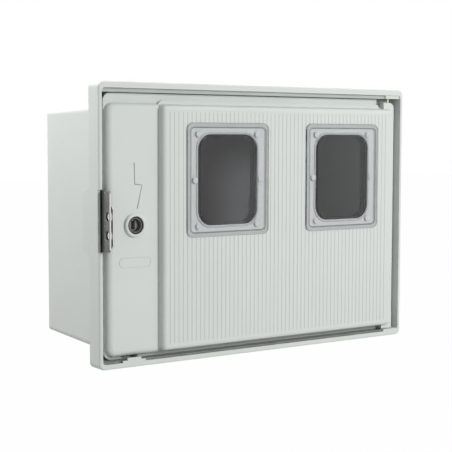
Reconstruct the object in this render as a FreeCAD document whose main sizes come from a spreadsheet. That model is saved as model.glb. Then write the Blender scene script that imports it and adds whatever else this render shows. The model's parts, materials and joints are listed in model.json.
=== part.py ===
"""Two-window electricity meter box: a moulded tub with a deep rim, and a hinged, lockable door.

Millimetres. X runs to the right, Y into the wall and Z up. The origin is the middle of the wall
fixing holes, on the back of the tub, so everything stands in front of it at negative Y. Depths are
given as a stand: the distance in front of the wall, which is minus Y.
"""
import FreeCAD, Part
import math
import os
import re
import Sketcher
from FreeCAD import Placement, Rotation, Vector

SIZES = {
    # Tub and rim, one glass-reinforced moulding
    "rim_width": 530,
    "rim_height": 378,
    "case_depth": 205,
    "rim_depth": 28.5,
    "side_overhang": 22,
    "top_overhang": 29,
    "bottom_overhang": 18,
    "wall": 3.5,
    "overlap": 1,
    "face_setback": 0.2,
    "tub_draft": 6,
    "tub_corner": 9,
    "rim_corner": 8,
    "rim_edge": 2.5,
    "rim_back_edge": 1.5,
    "lip_side": 5,
    "lip_top": 8.5,
    "lip_bottom": 7,
    "lip_corner": 5,
    "step_gap": 0.8,
    "step_setback": 5,
    # Latch pocket on the left of the rim
    "pocket_height": 91,
    "pocket_drop": 2,
    "pocket_reach": 17,
    "pocket_slope": 8,
    "notch_depth": 3.5,
    "notch_margin": 1,
    "plate_relief": 1.2,
    "plate_relief_depth": 9,
    # Door rest on the bottom lip
    "rest_width": 35,
    "rest_height": 6,
    "rest_shoulder": 7,
    "rest_shoulder_height": 2.7,
    "rest_depth": 4,
    "rest_offset": 3.5,
    "rest_clearance": 2,
    # Wall fixing and meter board
    "wall_hole_inset_side": 57,
    "wall_hole_inset_end": 19.5,
    "wall_hole_radius": 4.25,
    "board_gap_side": 18.5,
    "board_gap_end": 31,
    "board_thickness": 5,
    "board_corner": 8,
    "boss_inset": 20,
    "boss_radius": 8,
    "boss_height": 22,
    "insert_radius": 3.5,
    "insert_length": 12,
    "board_screw_radius": 2,
    "board_screw_length": 12,
    "board_screw_head_radius": 5,
    "board_screw_head": 2,
    "board_hole_radius": 2.5,
    "meter_slot_width": 6,
    "meter_slot_height": 60,
    # Door levels and outline
    "door_gap_left": 9,
    "door_gap_right": 5,
    "door_gap_top": 6,
    "door_gap_bottom": 3,
    "door_corner": 11,
    "flange": 3,
    "door_skin": 3,
    "seal_height": 7.7,
    "seal_width": 6,
    "seal_inset": 2,
    "running_gap": 0.3,
    # Smooth panel with the lock
    "smooth_width": 77,
    "panel_tuck": 11,
    "panel_height": 9,
    "panel_margin_side": 1,
    "panel_margin_top": 13,
    "panel_margin_bottom": 4,
    "panel_corner": 12,
    "panel_roll": 8.5,
    "panel_inset": 6.5,
    # Ribbed panel with the windows
    "ribbed_height": 20,
    "ribbed_margin_right": 9,
    "ribbed_margin_top": 13.5,
    "ribbed_margin_bottom": 6,
    "ribbed_corner": 9,
    "ribbed_roll": 6,
    "ribbed_taper": 8,
    "shelf_height": 4.5,
    "shelf_margin": 5,
    "groove_margin": 12.5,
    "groove_pitch": 7,
    "groove_margin_right": 20,
    "groove_width": 1.3,
    "groove_depth": 0.45,
    "groove_inset": 8,
    # Windows
    "window_width": 137,
    "window_height": 155.5,
    "window_corner": 9,
    "window_spacing": 205,
    "window_centre_height": 63.7,
    "window_recess": 1.5,
    "window_plate": 2.5,
    "window_bead": 5.5,
    "window_bead_height": 1.5,
    "window_bead_roll": 1.2,
    "window_border_side": 19.25,
    "window_border_end": 15.25,
    "sight_corner": 21,
    "collar_wall": 3,
    "collar_length": 12,
    "window_seal": 1,
    "window_seal_margin": 0.95,
    "window_seal_width": 2.2,
    "window_fit": 0.3,
    "peg_radius": 1.5,
    "peg_length": 8,
    "peg_clear": 5.55,
    "push_nut_width": 9,
    "push_nut": 1,
    # Stiffening ribs behind the ribbed panel
    "rib_count": 2,
    "rib_pitch": 55,
    "rib_width": 2.5,
    "rib_depth": 8,
    # Lock
    "lock_x_from_door": 42,
    "lock_height": 5.5,
    "ring_radius": 16,
    "ring_height": 4,
    "ring_roll": 2.5,
    "lock_recess_radius": 12,
    "lock_recess_depth": 7,
    "lock_boss_depth": 3.5,
    "lock_hole_radius": 10.5,
    "lock_fit": 0.2,
    "lock_head_depth": 5,
    "lock_body_length": 17,
    "lock_mouth_radius": 9,
    "lock_mouth_depth": 6.5,
    "plug_radius": 7.45,
    "bearing_gap": 0.05,
    "key_slot_width": 6,
    "key_slot_height": 12,
    "key_slot_depth": 7,
    "lock_nut_across": 28,
    "lock_nut": 5,
    "cam_gap": 1,
    "cam_thickness": 3,
    "cam_width": 16,
    "cam_hook": 13.5,
    "cam_spigot_radius": 5,
    "washer_radius": 7,
    "washer": 1,
    "cam_screw_head_radius": 4.5,
    "cam_screw_head": 3,
    "cam_screw_radius": 2.5,
    "cam_screw_length": 10,
    # Padlock plates
    "plate_thickness": 2,
    "plate_height": 80,
    "plate_centre_height": 13,
    "plate_reach": 19.2,
    "plate_foot": 7,
    "plate_corner": 6,
    "hasp_height": 55,
    "hasp_drop": 1.5,
    "hasp_margin": 2,
    "hasp_reach": 19.2,
    "hasp_foot": 17,
    "hasp_foot_thickness": 1.5,
    "hasp_gap": 2.3,
    "hasp_boss_width": 13,
    "padlock_hole_radius": 6,
    "padlock_hole_spacing": 24.6,
    "padlock_hole_reach": 11.5,
    "padlock_hole_height": 7,
    "rivet_radius": 2,
    "rivet_length": 6,
    "rivet_head_radius": 3.2,
    "rivet_head": 1.2,
    "rivet_spacing": 38,
    "plate_screw_spacing": 56,
    "screw_floor": 0.5,
    # Hinge
    "hinge_from_rim": 24,
    "hinge_behind_rim": 8,
    "pin_radius": 2,
    "pin_in_lug": 8,
    "pin_in_door": 16,
    "knuckle_left": 11.5,
    "knuckle_right": 9,
    "knuckle_front": 4,
    "knuckle_height": 26,
    "knuckle_corner": 9,
    "lug_width": 29,
    "lug_depth": 15,
    "lug_top_height": 5,
    "lug_bottom_height": 3,
    "lug_setback": 1.5,
    "lug_clearance": 1,
    "pin_exposed": 6,
    "relief_side": 4,
    "seal_end": 14,
    "thumb_slot_width": 6,
    "thumb_slot_height": 8,
    "thumb_slot_corner": 2.5,
}

# Levels and edges that follow from the sizes above. Stands count forward from the wall.
LAYOUT = {
    "tub_half_width": "rim_width / 2 - side_overhang",
    "tub_half_height": "(rim_height - top_overhang - bottom_overhang) / 2",
    "rim_top": "tub_half_height + top_overhang",
    "rim_bottom": "-tub_half_height - bottom_overhang",
    "opening_left": "-rim_width / 2 + lip_side",
    "opening_right": "rim_width / 2 - lip_side",
    "opening_top": "rim_top - lip_top",
    "opening_bottom": "rim_bottom + lip_bottom",
    "ledge_back": "case_depth - rim_depth",
    "ledge_front": "ledge_back + wall",
    "pocket_bottom": "plate_centre_height - pocket_drop - pocket_height / 2",
    "pocket_top": "plate_centre_height - pocket_drop + pocket_height / 2",
    "door_left": "opening_left + door_gap_left",
    "door_right": "opening_right - door_gap_right",
    "door_top": "opening_top - door_gap_top",
    "door_bottom": "opening_bottom + door_gap_bottom",
    "flange_back": "ledge_front + seal_height + running_gap",
    "flange_front": "flange_back + flange",
    "panel_face": "flange_front + panel_height",
    "ribbed_face": "flange_front + ribbed_height",
    "panel_left": "door_left + panel_margin_side",
    "panel_top": "door_top - panel_margin_top",
    "panel_bottom": "door_bottom + panel_margin_bottom",
    "ribbed_right": "door_right - ribbed_margin_right",
    "ribbed_left": "panel_left + smooth_width",
    "ribbed_top": "door_top - ribbed_margin_top",
    "ribbed_bottom": "door_bottom + ribbed_margin_bottom",
    "ribbed_run": "ribbed_height * tan(ribbed_taper * 1 deg)",
    "ribbed_inset": "ribbed_run + door_skin",
    "groove_room": "ribbed_right - ribbed_left - groove_margin - groove_margin_right",
    "groove_count": "floor(groove_room / groove_pitch) + 1",
    "window_middle": "(ribbed_left + ribbed_right) / 2",
    "window_seat": "ribbed_face - window_recess",
    "window_back": "window_seat + window_seal",
    "window_front": "window_back + window_plate",
    "sight_half_width": "window_width / 2 - window_border_side",
    "sight_half_height": "window_height / 2 - window_border_end",
    "skin_back": "ribbed_face - door_skin - window_recess",
    "lock_x": "door_left + lock_x_from_door",
    "ring_crest": "panel_face + ring_height",
    "lock_floor": "ring_crest - lock_recess_depth",
    "lock_boss_back": "lock_floor - lock_boss_depth",
    "lock_head_front": "lock_floor + lock_head_depth",
    "lock_body_back": "lock_floor - lock_body_length",
    "plug_face": "lock_head_front - lock_mouth_depth",
    "cam_front": "ledge_back - cam_gap",
    "cam_back": "cam_front - cam_thickness",
    "cam_length": "lock_x + tub_half_width - wall + cam_hook",
    "plate_left": "opening_left + running_gap",
    "plate_bottom": "plate_centre_height - plate_height / 2",
    "plate_top": "plate_centre_height + plate_height / 2",
    "hasp_left": "plate_left + plate_thickness + hasp_gap",
    "hasp_bottom": "padlock_hole_height - hasp_height / 2 - hasp_drop",
    "hasp_top": "padlock_hole_height + hasp_height / 2 - hasp_drop",
    "padlock_stand": "case_depth + padlock_hole_reach",
    "hinge_x": "rim_width / 2 - hinge_from_rim",
    "hinge_stand": "case_depth - hinge_behind_rim",
    "lug_left": "opening_right - lug_width",
    "lug_top_face": "opening_top - lug_top_height",
    "lug_bottom_face": "opening_bottom + lug_bottom_height",
    "knuckle_top": "lug_top_face - pin_exposed",
    "knuckle_bottom": "lug_bottom_face + lug_clearance",
    "thumb_right": "hinge_x - knuckle_left",
    "thumb_left": "thumb_right - thumb_slot_width",
    "rest_middle": "lock_x - rest_offset",
    "wall_hole_x": "tub_half_width - tub_draft - wall_hole_inset_side",
    "wall_hole_z": "tub_half_height - tub_draft - wall_hole_inset_end",
    "board_half_width": "tub_half_width - tub_draft - wall - board_gap_side",
    "board_half_height": "tub_half_height - tub_draft - wall - board_gap_end",
    "boss_x": "board_half_width - boss_inset",
    "boss_z": "board_half_height - boss_inset",
    "boss_front": "wall + boss_height",
    "board_front": "boss_front + board_thickness",
}

doc = FreeCAD.newDocument("meter_box")
sizes = doc.addObject("Spreadsheet::Sheet", "Sizes")
layout = doc.addObject("Spreadsheet::Sheet", "Layout")
WORD = re.compile(r"[a-z][a-z_]+")


def bind(text):
    """Turn the bare size names in a formula into references to the two sheets."""
    def reference(match):
        word = match.group(0)
        if word in SIZES:
            return "Sizes." + word
        if word in LAYOUT:
            return "Layout." + word
        return word
    return WORD.sub(reference, str(text))


def mm(text):
    """The present value of a formula."""
    return float(sizes.evalExpression(bind(text)))


def fill_sheets():
    for row, (name, number) in enumerate(SIZES.items(), start=1):
        sizes.set("A%d" % row, name)
        sizes.set("B%d" % row, str(number))
        sizes.setAlias("B%d" % row, name)
    doc.recompute()
    for row, (name, formula) in enumerate(LAYOUT.items(), start=1):
        layout.set("A%d" % row, name)
        layout.setAlias("B%d" % row, name)
        layout.set("B%d" % row, "=" + bind(formula))
    doc.recompute()


# Sketches

def new_body(label):
    body = doc.addObject("PartDesign::Body", label)
    body.Label = label
    return body


def sketch_on(body, name, role, offset):
    """A sketch parallel to one of the body's origin planes, moved along that plane's normal."""
    plane = [item for item in body.Origin.OriginFeatures if item.Role == role][0]
    sketch = body.newObject("Sketcher::SketchObject", name)
    sketch.AttachmentSupport = [(plane, "")]
    sketch.MapMode = "FlatFace"
    sketch.setExpression("AttachmentOffset.Base.z", bind(offset))
    return sketch


def facing(body, name, stand):
    """A sketch that faces the front, at a stand in front of the wall: x is X and y is Z."""
    return sketch_on(body, name, "XZ_Plane", stand)


def driven(sketch, constraint, name, formula):
    index = sketch.addConstraint(constraint)
    sketch.renameConstraint(index, name)
    sketch.setExpression("Constraints." + name, bind(formula))


def add_polygon(sketch, points):
    """A closed outline through points whose two coordinates are formulas."""
    values = [Vector(mm(x), mm(y), 0) for x, y in points]
    first = sketch.GeometryCount
    count = len(points)
    for index in range(count):
        sketch.addGeometry(Part.LineSegment(values[index], values[(index + 1) % count]), False)
    for index in range(count):
        following = first + (index + 1) % count
        sketch.addConstraint(Sketcher.Constraint("Coincident", first + index, 2, following, 1))
    for index, (x, y) in enumerate(points):
        line = first + index
        across = Sketcher.Constraint("DistanceX", -1, 1, line, 1, values[index].x)
        driven(sketch, across, "x%d" % line, x)
        upward = Sketcher.Constraint("DistanceY", -1, 1, line, 1, values[index].y)
        driven(sketch, upward, "y%d" % line, y)


def add_rectangle(sketch, left, right, bottom, top):
    add_polygon(sketch, [(left, bottom), (right, bottom), (right, top), (left, top)])


def add_rounded(sketch, left, right, bottom, top, radius):
    """A rectangle with four equal corner arcs."""
    x0, x1, y0, y1, r = mm(left), mm(right), mm(bottom), mm(top), mm(radius)
    first = sketch.GeometryCount
    corners = [(x1 - r, y0 + r), (x1 - r, y1 - r), (x0 + r, y1 - r), (x0 + r, y0 + r)]
    starts = [(x0 + r, y0), (x1, y0 + r), (x1 - r, y1), (x0, y1 - r)]
    ends = [(x1 - r, y0), (x1, y1 - r), (x0 + r, y1), (x0, y0 + r)]
    for side in range(4):
        line = Part.LineSegment(Vector(*starts[side], 0), Vector(*ends[side], 0))
        sketch.addGeometry(line, False)
        circle = Part.Circle(Vector(*corners[side], 0), Vector(0, 0, 1), r)
        quarter = Part.ArcOfCircle(circle, (side - 1) * math.pi / 2, side * math.pi / 2)
        sketch.addGeometry(quarter, False)
    for side in range(4):
        line = first + 2 * side
        following = first + 2 * ((side + 1) % 4)
        sketch.addConstraint(Sketcher.Constraint("Tangent", line, 2, line + 1, 1))
        sketch.addConstraint(Sketcher.Constraint("Tangent", line + 1, 2, following, 1))
        direction = "Horizontal" if side % 2 == 0 else "Vertical"
        sketch.addConstraint(Sketcher.Constraint(direction, line))
        if side:
            sketch.addConstraint(Sketcher.Constraint("Equal", first + 1, line + 1))
    tag = "%d" % first
    driven(sketch, Sketcher.Constraint("Radius", first + 1, r), "radius" + tag, radius)
    driven(sketch, Sketcher.Constraint("DistanceY", -1, 1, first, 1, y0), "bottom" + tag, bottom)
    driven(sketch, Sketcher.Constraint("DistanceX", -1, 1, first + 2, 1, x1), "right" + tag, right)
    driven(sketch, Sketcher.Constraint("DistanceY", -1, 1, first + 4, 1, y1), "top" + tag, top)
    driven(sketch, Sketcher.Constraint("DistanceX", -1, 1, first + 6, 1, x0), "left" + tag, left)


def add_circle(sketch, x, y, radius):
    circle = Part.Circle(Vector(mm(x), mm(y), 0), Vector(0, 0, 1), mm(radius))
    index = sketch.addGeometry(circle, False)
    tag = "%d" % index
    driven(sketch, Sketcher.Constraint("DistanceX", -1, 1, index, 3, mm(x)), "cx" + tag, x)
    driven(sketch, Sketcher.Constraint("DistanceY", -1, 1, index, 3, mm(y)), "cy" + tag, y)
    driven(sketch, Sketcher.Constraint("Radius", index, mm(radius)), "r" + tag, radius)


# Features

def finish_feature(body, feature):
    body.Tip = feature
    doc.recompute()
    return feature


def pad(body, sketch, length, taper=None, backwards=False):
    feature = body.newObject("PartDesign::Pad", sketch.Name + "_pad")
    feature.Profile = sketch
    feature.setExpression("Length", bind(length))
    feature.Reversed = backwards
    if taper:
        feature.setExpression("TaperAngle", bind(taper))
    return finish_feature(body, feature)


def pocket(body, sketch, length, backwards=False):
    """A cut behind the sketch, or in front of it when it runs backwards."""
    feature = body.newObject("PartDesign::Pocket", sketch.Name + "_pocket")
    feature.Profile = sketch
    feature.setExpression("Length", bind(length))
    feature.Reversed = backwards
    before = feature.BaseFeature.Shape.Volume
    finish_feature(body, feature)
    if not feature.Shape.Volume < before:
        raise RuntimeError(sketch.Name + " removes nothing")
    return feature


def loft(body, kind, near, far, name):
    feature = body.newObject("PartDesign::" + kind, name)
    feature.Profile = near
    feature.Sections = [far]
    feature.Ruled = True
    return finish_feature(body, feature)


def fillet(body, name, radius, wanted):
    """Round the edges of the body's last feature that the wanted test picks."""
    base = body.Tip
    names = ["Edge%d" % (index + 1) for index, edge in enumerate(base.Shape.Edges) if wanted(edge)]
    if not names:
        raise RuntimeError(name + " finds no edge")
    feature = body.newObject("PartDesign::Fillet", name)
    feature.Base = (base, names)
    feature.setExpression("Radius", bind(radius))
    return finish_feature(body, feature)


def on_stand(edge, stand, near=0.01):
    """True where an edge lies in the plane at a stand in front of the wall."""
    box = edge.BoundBox
    return abs(box.YMin + stand) < near and abs(box.YMax + stand) < near


def at_corner(edge, x, z):
    """Whether an edge runs front to back at one X and Z."""
    box = edge.BoundBox
    return max(abs(box.XMin - x), abs(box.XMax - x), abs(box.ZMin - z), abs(box.ZMax - z)) < 0.01


# Plain solids

def place(item, label, x, y, z, rotation=None):
    item.Label = label
    if rotation:
        item.Placement = Placement(Vector(), rotation)
    item.setExpression("Placement.Base.x", bind(x))
    item.setExpression("Placement.Base.y", bind(y))
    item.setExpression("Placement.Base.z", bind(z))
    return item


def drum(label, radius, front, back, x, z):
    """A cylinder along Y between two stands."""
    item = doc.addObject("Part::Cylinder", label)
    item.setExpression("Radius", bind(radius))
    item.setExpression("Height", bind("(%s) - (%s)" % (front, back)))
    return place(item, label, x, "-(%s)" % front, z, Rotation(Vector(1, 0, 0), -90))


def post(label, radius, bottom, top, x, stand):
    """A cylinder along Z."""
    item = doc.addObject("Part::Cylinder", label)
    item.setExpression("Radius", bind(radius))
    item.setExpression("Height", bind("(%s) - (%s)" % (top, bottom)))
    return place(item, label, x, "-(%s)" % stand, bottom)


def block(label, left, right, front, back, bottom, top):
    item = doc.addObject("Part::Box", label)
    item.setExpression("Length", bind("(%s) - (%s)" % (right, left)))
    item.setExpression("Width", bind("(%s) - (%s)" % (front, back)))
    item.setExpression("Height", bind("(%s) - (%s)" % (top, bottom)))
    return place(item, label, left, "-(%s)" % front, bottom)


def joined(label, items):
    item = doc.addObject("Part::MultiFuse", label)
    item.Shapes = items
    item.Label = label
    return item


def cut(label, base, tool):
    item = doc.addObject("Part::Cut", label)
    item.Base = base
    item.Tool = tool
    item.Label = label
    return item


def group(label, items):
    """Identical fasteners as separate solids under one name."""
    item = doc.addObject("Part::Compound", label)
    item.Links = items
    item.Label = label
    return item


def four_corners(wide, high):
    """The four corners of a pattern about the middle of the back, as formulas."""
    return [(sx + wide, sz + high) for sx in ("-", "") for sz in ("-", "")]


# Enclosure

def make_enclosure():
    body = new_body("enclosure")
    near = facing(body, "tub_mouth", "ledge_back")
    add_rounded(near, "-tub_half_width", "tub_half_width", "-tub_half_height", "tub_half_height",
                "tub_corner")
    far = facing(body, "tub_back", "0")
    add_rounded(far, "-tub_half_width + tub_draft", "tub_half_width - tub_draft",
                "-tub_half_height + tub_draft", "tub_half_height - tub_draft", "tub_corner - tub_draft / 2")
    loft(body, "AdditiveLoft", near, far, "tub")

    rim = facing(body, "rim", "ledge_back")
    add_rounded(rim, "-rim_width / 2", "rim_width / 2", "rim_bottom", "rim_top", "rim_corner")
    pad(body, rim, "rim_depth")
    fillet(body, "rim_front_edge", "rim_edge", lambda edge: on_stand(edge, mm("case_depth")))
    clear_of_tub = mm("tub_half_width + overlap"), mm("tub_half_height + overlap")
    fillet(body, "rim_rear_edge", "rim_back_edge",
           lambda edge: on_stand(edge, mm("ledge_back"))
           and (abs(edge.CenterOfMass.x) > clear_of_tub[0] or abs(edge.CenterOfMass.z) > clear_of_tub[1]))

    pocket_shell = sketch_on(body, "latch_pocket", "YZ_Plane", "-rim_width / 2")
    add_polygon(pocket_shell, [
        ("-ledge_back - rim_back_edge", "pocket_bottom"),
        ("-ledge_back", "pocket_bottom"),
        ("-ledge_back + pocket_reach", "pocket_bottom + pocket_slope"),
        ("-ledge_back + pocket_reach", "pocket_top - pocket_slope"),
        ("-ledge_back", "pocket_top"),
        ("-ledge_back - rim_back_edge", "pocket_top"),
    ])
    pad(body, pocket_shell, "side_overhang + wall / 2")

    recess = facing(body, "door_recess", "case_depth")
    add_rounded(recess, "opening_left", "opening_right", "opening_bottom", "opening_top", "lip_corner")
    pocket(body, recess, "case_depth - ledge_front")

    inner = facing(body, "hollow_mouth", "ledge_front")
    add_rounded(inner, "-tub_half_width + wall", "tub_half_width - wall", "-tub_half_height + wall",
                "tub_half_height - wall", "tub_corner - wall")
    floor = facing(body, "hollow_floor", "wall")
    add_rounded(floor, "-tub_half_width + tub_draft + wall", "tub_half_width - tub_draft - wall",
                "-tub_half_height + tub_draft + wall", "tub_half_height - tub_draft - wall",
                "tub_corner - wall - tub_draft / 2")
    loft(body, "SubtractiveLoft", inner, floor, "hollow")

    cavity = sketch_on(body, "latch_cavity", "YZ_Plane", "-rim_width / 2 + wall")
    add_polygon(cavity, [
        ("-ledge_back", "pocket_bottom + wall"),
        ("-ledge_back + pocket_reach - wall", "pocket_bottom + pocket_slope + wall / 2"),
        ("-ledge_back + pocket_reach - wall", "pocket_top - pocket_slope - wall / 2"),
        ("-ledge_back", "pocket_top - wall"),
    ])
    pocket(body, cavity, "side_overhang + wall", backwards=True)

    notch = facing(body, "padlock_notch", "case_depth")
    add_rectangle(notch, "-rim_width / 2 - overlap", "opening_left + overlap",
                  "plate_bottom - notch_margin", "plate_top + notch_margin")
    pocket(body, notch, "notch_depth")
    relief = facing(body, "plate_relief", "case_depth - notch_depth")
    add_rectangle(relief, "opening_left - plate_relief", "opening_left + overlap",
                  "plate_bottom - notch_margin", "plate_top + notch_margin")
    pocket(body, relief, "plate_relief_depth")

    step = facing(body, "rim_steps", "ledge_front - overlap")
    for low, high in (("door_top + step_gap", "opening_top + overlap"),
                      ("opening_bottom - overlap", "door_bottom - step_gap")):
        add_rectangle(step, "opening_left - overlap", "lug_left + overlap", low, high)
    pad(body, step, "case_depth - step_setback - ledge_front + overlap")

    rest = facing(body, "door_rest", "case_depth - rest_depth")
    add_polygon(rest, [
        ("rest_middle - rest_width / 2", "opening_bottom - overlap"),
        ("rest_middle + rest_width / 2", "opening_bottom - overlap"),
        ("rest_middle + rest_width / 2", "opening_bottom + rest_shoulder_height"),
        ("rest_middle + rest_width / 2 - rest_shoulder", "opening_bottom + rest_shoulder_height"),
        ("rest_middle + rest_width / 2 - rest_shoulder", "opening_bottom + rest_height"),
        ("rest_middle - rest_width / 2 + rest_shoulder", "opening_bottom + rest_height"),
        ("rest_middle - rest_width / 2 + rest_shoulder", "opening_bottom + rest_shoulder_height"),
        ("rest_middle - rest_width / 2", "opening_bottom + rest_shoulder_height"),
    ])
    pad(body, rest, "rest_depth - face_setback")

    top_lug = facing(body, "hinge_lug_top", "case_depth - lug_setback - lug_depth")
    add_rectangle(top_lug, "lug_left", "opening_right + overlap", "lug_top_face", "opening_top + overlap")
    pad(body, top_lug, "lug_depth")
    bottom_lug = facing(body, "hinge_lug_bottom", "case_depth - lug_setback - lug_depth")
    add_rectangle(bottom_lug, "lug_left", "opening_right + overlap", "opening_bottom - overlap",
                  "lug_bottom_face")
    pad(body, bottom_lug, "lug_depth + lug_setback - face_setback")
    top_socket = sketch_on(body, "pin_socket_top", "XY_Plane", "lug_top_face")
    add_circle(top_socket, "hinge_x", "-hinge_stand", "pin_radius")
    pocket(body, top_socket, "pin_in_lug", backwards=True)
    bottom_socket = sketch_on(body, "pin_socket_bottom", "XY_Plane", "lug_bottom_face")
    add_circle(bottom_socket, "hinge_x", "-hinge_stand", "pin_radius")
    pocket(body, bottom_socket, "pin_in_lug")

    bosses = facing(body, "board_bosses", "wall / 2")
    for x, z in four_corners("boss_x", "boss_z"):
        add_circle(bosses, x, z, "boss_radius")
    pad(body, bosses, "boss_height + wall / 2")
    sockets = facing(body, "insert_sockets", "boss_front")
    for x, z in four_corners("boss_x", "boss_z"):
        add_circle(sockets, x, z, "insert_radius")
    pocket(body, sockets, "insert_length")
    holes = facing(body, "wall_holes", "wall + overlap")
    for x, z in four_corners("wall_hole_x", "wall_hole_z"):
        add_circle(holes, x, z, "wall_hole_radius")
    pocket(body, holes, "wall + 2 * overlap")
    plate_holes = facing(body, "plate_screw_holes", "ledge_front")
    for sign in ("-", "+"):
        add_circle(plate_holes, "plate_left + plate_thickness + plate_foot / 2",
                   "plate_centre_height %s plate_screw_spacing / 2" % sign, "rivet_radius")
    pocket(body, plate_holes, "wall - screw_floor")
    return body


def make_seal():
    """A foam strip on the ledge behind the door's top, left and bottom edges."""
    body = new_body("door_seal")
    run = facing(body, "seal_run", "ledge_front")
    left, inner_left = "door_left + seal_inset", "door_left + seal_inset + seal_width"
    bottom, inner_bottom = "door_bottom + seal_inset", "door_bottom + seal_inset + seal_width"
    top, inner_top = "door_top - seal_inset", "door_top - seal_inset - seal_width"
    end = "lug_left - seal_end"
    add_polygon(run, [(left, bottom), (end, bottom), (end, inner_bottom), (inner_left, inner_bottom),
                      (inner_left, inner_top), (end, inner_top), (end, top), (left, top)])
    pad(body, run, "seal_height")
    relief = facing(body, "hasp_relief", "ledge_front + seal_height")
    add_rectangle(relief, "door_left", "door_left + seal_inset + seal_width + overlap",
                  "hasp_bottom - hasp_margin", "hasp_top + hasp_margin")
    pocket(body, relief, "hasp_foot_thickness + rivet_head + running_gap")
    return body


def make_meter_board():
    body = new_body("meter_board")
    outline = facing(body, "board_outline", "boss_front")
    add_rounded(outline, "-board_half_width", "board_half_width", "-board_half_height", "board_half_height",
                "board_corner")
    pad(body, outline, "board_thickness")
    holes = facing(body, "board_holes", "board_front")
    for x, z in four_corners("boss_x", "boss_z"):
        add_circle(holes, x, z, "board_hole_radius")
    pocket(body, holes, "board_thickness")
    slots = facing(body, "meter_slots", "board_front")
    for sign in ("-", "+"):
        middle = "%s window_spacing / 2" % sign
        add_rounded(slots, middle + " - meter_slot_width / 2", middle + " + meter_slot_width / 2",
                    "-meter_slot_height / 2", "meter_slot_height / 2", "meter_slot_width / 2 - 0.1")
    pocket(body, slots, "board_thickness")
    return body


def make_board_fixings():
    inserts = []
    screws = []
    for number, (x, z) in enumerate(four_corners("boss_x", "boss_z")):
        sleeve = drum("sleeve_%d" % number, "insert_radius", "boss_front", "boss_front - insert_length", x, z)
        thread = drum("thread_%d" % number, "board_screw_radius", "boss_front",
                      "boss_front - insert_length", x, z)
        inserts.append(cut("insert_%d" % number, sleeve, thread))
        head = drum("head_%d" % number, "board_screw_head_radius", "board_front + board_screw_head",
                    "board_front", x, z)
        shank = drum("shank_%d" % number, "board_screw_radius", "board_front",
                     "board_front - board_screw_length", x, z)
        screws.append(joined("screw_%d" % number, [head, shank]))
    return [group("threaded_inserts", inserts), group("meter_board_screws", screws)]


# Hinge pins

def make_hinge_pins():
    top = post("hinge_pin_top", "pin_radius", "knuckle_top - pin_in_door", "lug_top_face + pin_in_lug",
               "hinge_x", "hinge_stand")
    bottom = post("hinge_pin_bottom", "pin_radius", "lug_bottom_face - pin_in_lug",
                  "knuckle_bottom + pin_in_door", "hinge_x", "hinge_stand")
    return [top, bottom]


# Door

def make_door():
    body = new_body("door")
    flange = facing(body, "door_flange", "flange_back")
    add_rounded(flange, "door_left", "door_right", "door_bottom", "door_top", "door_corner")
    pad(body, flange, "flange")

    panel = facing(body, "smooth_panel", "flange_back")
    add_rounded(panel, "panel_left", "ribbed_left + panel_tuck", "panel_bottom", "panel_top", "panel_corner")
    pad(body, panel, "flange + panel_height")
    buried = mm("ribbed_left")
    fillet(body, "panel_roll_edge", "panel_roll",
           lambda edge: on_stand(edge, mm("panel_face")) and edge.BoundBox.XMin < buried)

    shelf = facing(body, "ribbed_shelf", "flange_back")
    add_rounded(shelf, "ribbed_left + ribbed_run", "ribbed_right", "ribbed_bottom",
                "ribbed_top + shelf_margin", "ribbed_corner")
    pad(body, shelf, "flange + shelf_height")

    ribbed = facing(body, "ribbed_panel", "flange_front")
    add_rounded(ribbed, "ribbed_left", "ribbed_right", "ribbed_bottom", "ribbed_top", "ribbed_corner")
    pad(body, ribbed, "ribbed_height", taper="-ribbed_taper")
    fillet(body, "ribbed_roll_edge", "ribbed_roll", lambda edge: on_stand(edge, mm("ribbed_face")))

    make_knuckles(body)
    hollow_door(body)
    drill_knuckles(body)
    cut_door_corners(body)
    cut_windows(body)
    make_lock_seat(body)
    make_hasp_seat(body)
    cut_grooves(body)
    return body


def make_knuckles(body):
    """Two hinge blocks on the right margin, with room for the top lug and a rounded top corner."""
    for name, low in (("top", "knuckle_top - knuckle_height"), ("bottom", "knuckle_bottom")):
        barrel = facing(body, "knuckle_" + name, "flange_back")
        add_rectangle(barrel, "hinge_x - knuckle_left", "hinge_x + knuckle_right", low,
                      low + " + knuckle_height")
        pad(body, barrel, "hinge_stand + knuckle_front - flange_back")
    above = facing(body, "top_corner", "ribbed_face + overlap")
    add_rectangle(above, "thumb_left", "door_right + overlap", "knuckle_top", "door_top + overlap")
    pocket(body, above, "ribbed_face - flange_back + 2 * overlap")
    crown = mm("knuckle_top")
    block_side = mm("hinge_x + knuckle_right")
    fillet(body, "block_corner", "knuckle_corner", lambda edge: at_corner(edge, block_side, crown))


def drill_knuckles(body):
    """A bearing hole for its pin in each barrel, drilled once the panel behind is hollow."""
    for name, low, direction in (("top", "knuckle_top", False), ("bottom", "knuckle_bottom", True)):
        bearing = sketch_on(body, "bearing_" + name, "XY_Plane", low)
        add_circle(bearing, "hinge_x", "-hinge_stand", "pin_radius + bearing_gap")
        pocket(body, bearing, "pin_in_door + lug_clearance", backwards=direction)


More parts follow.
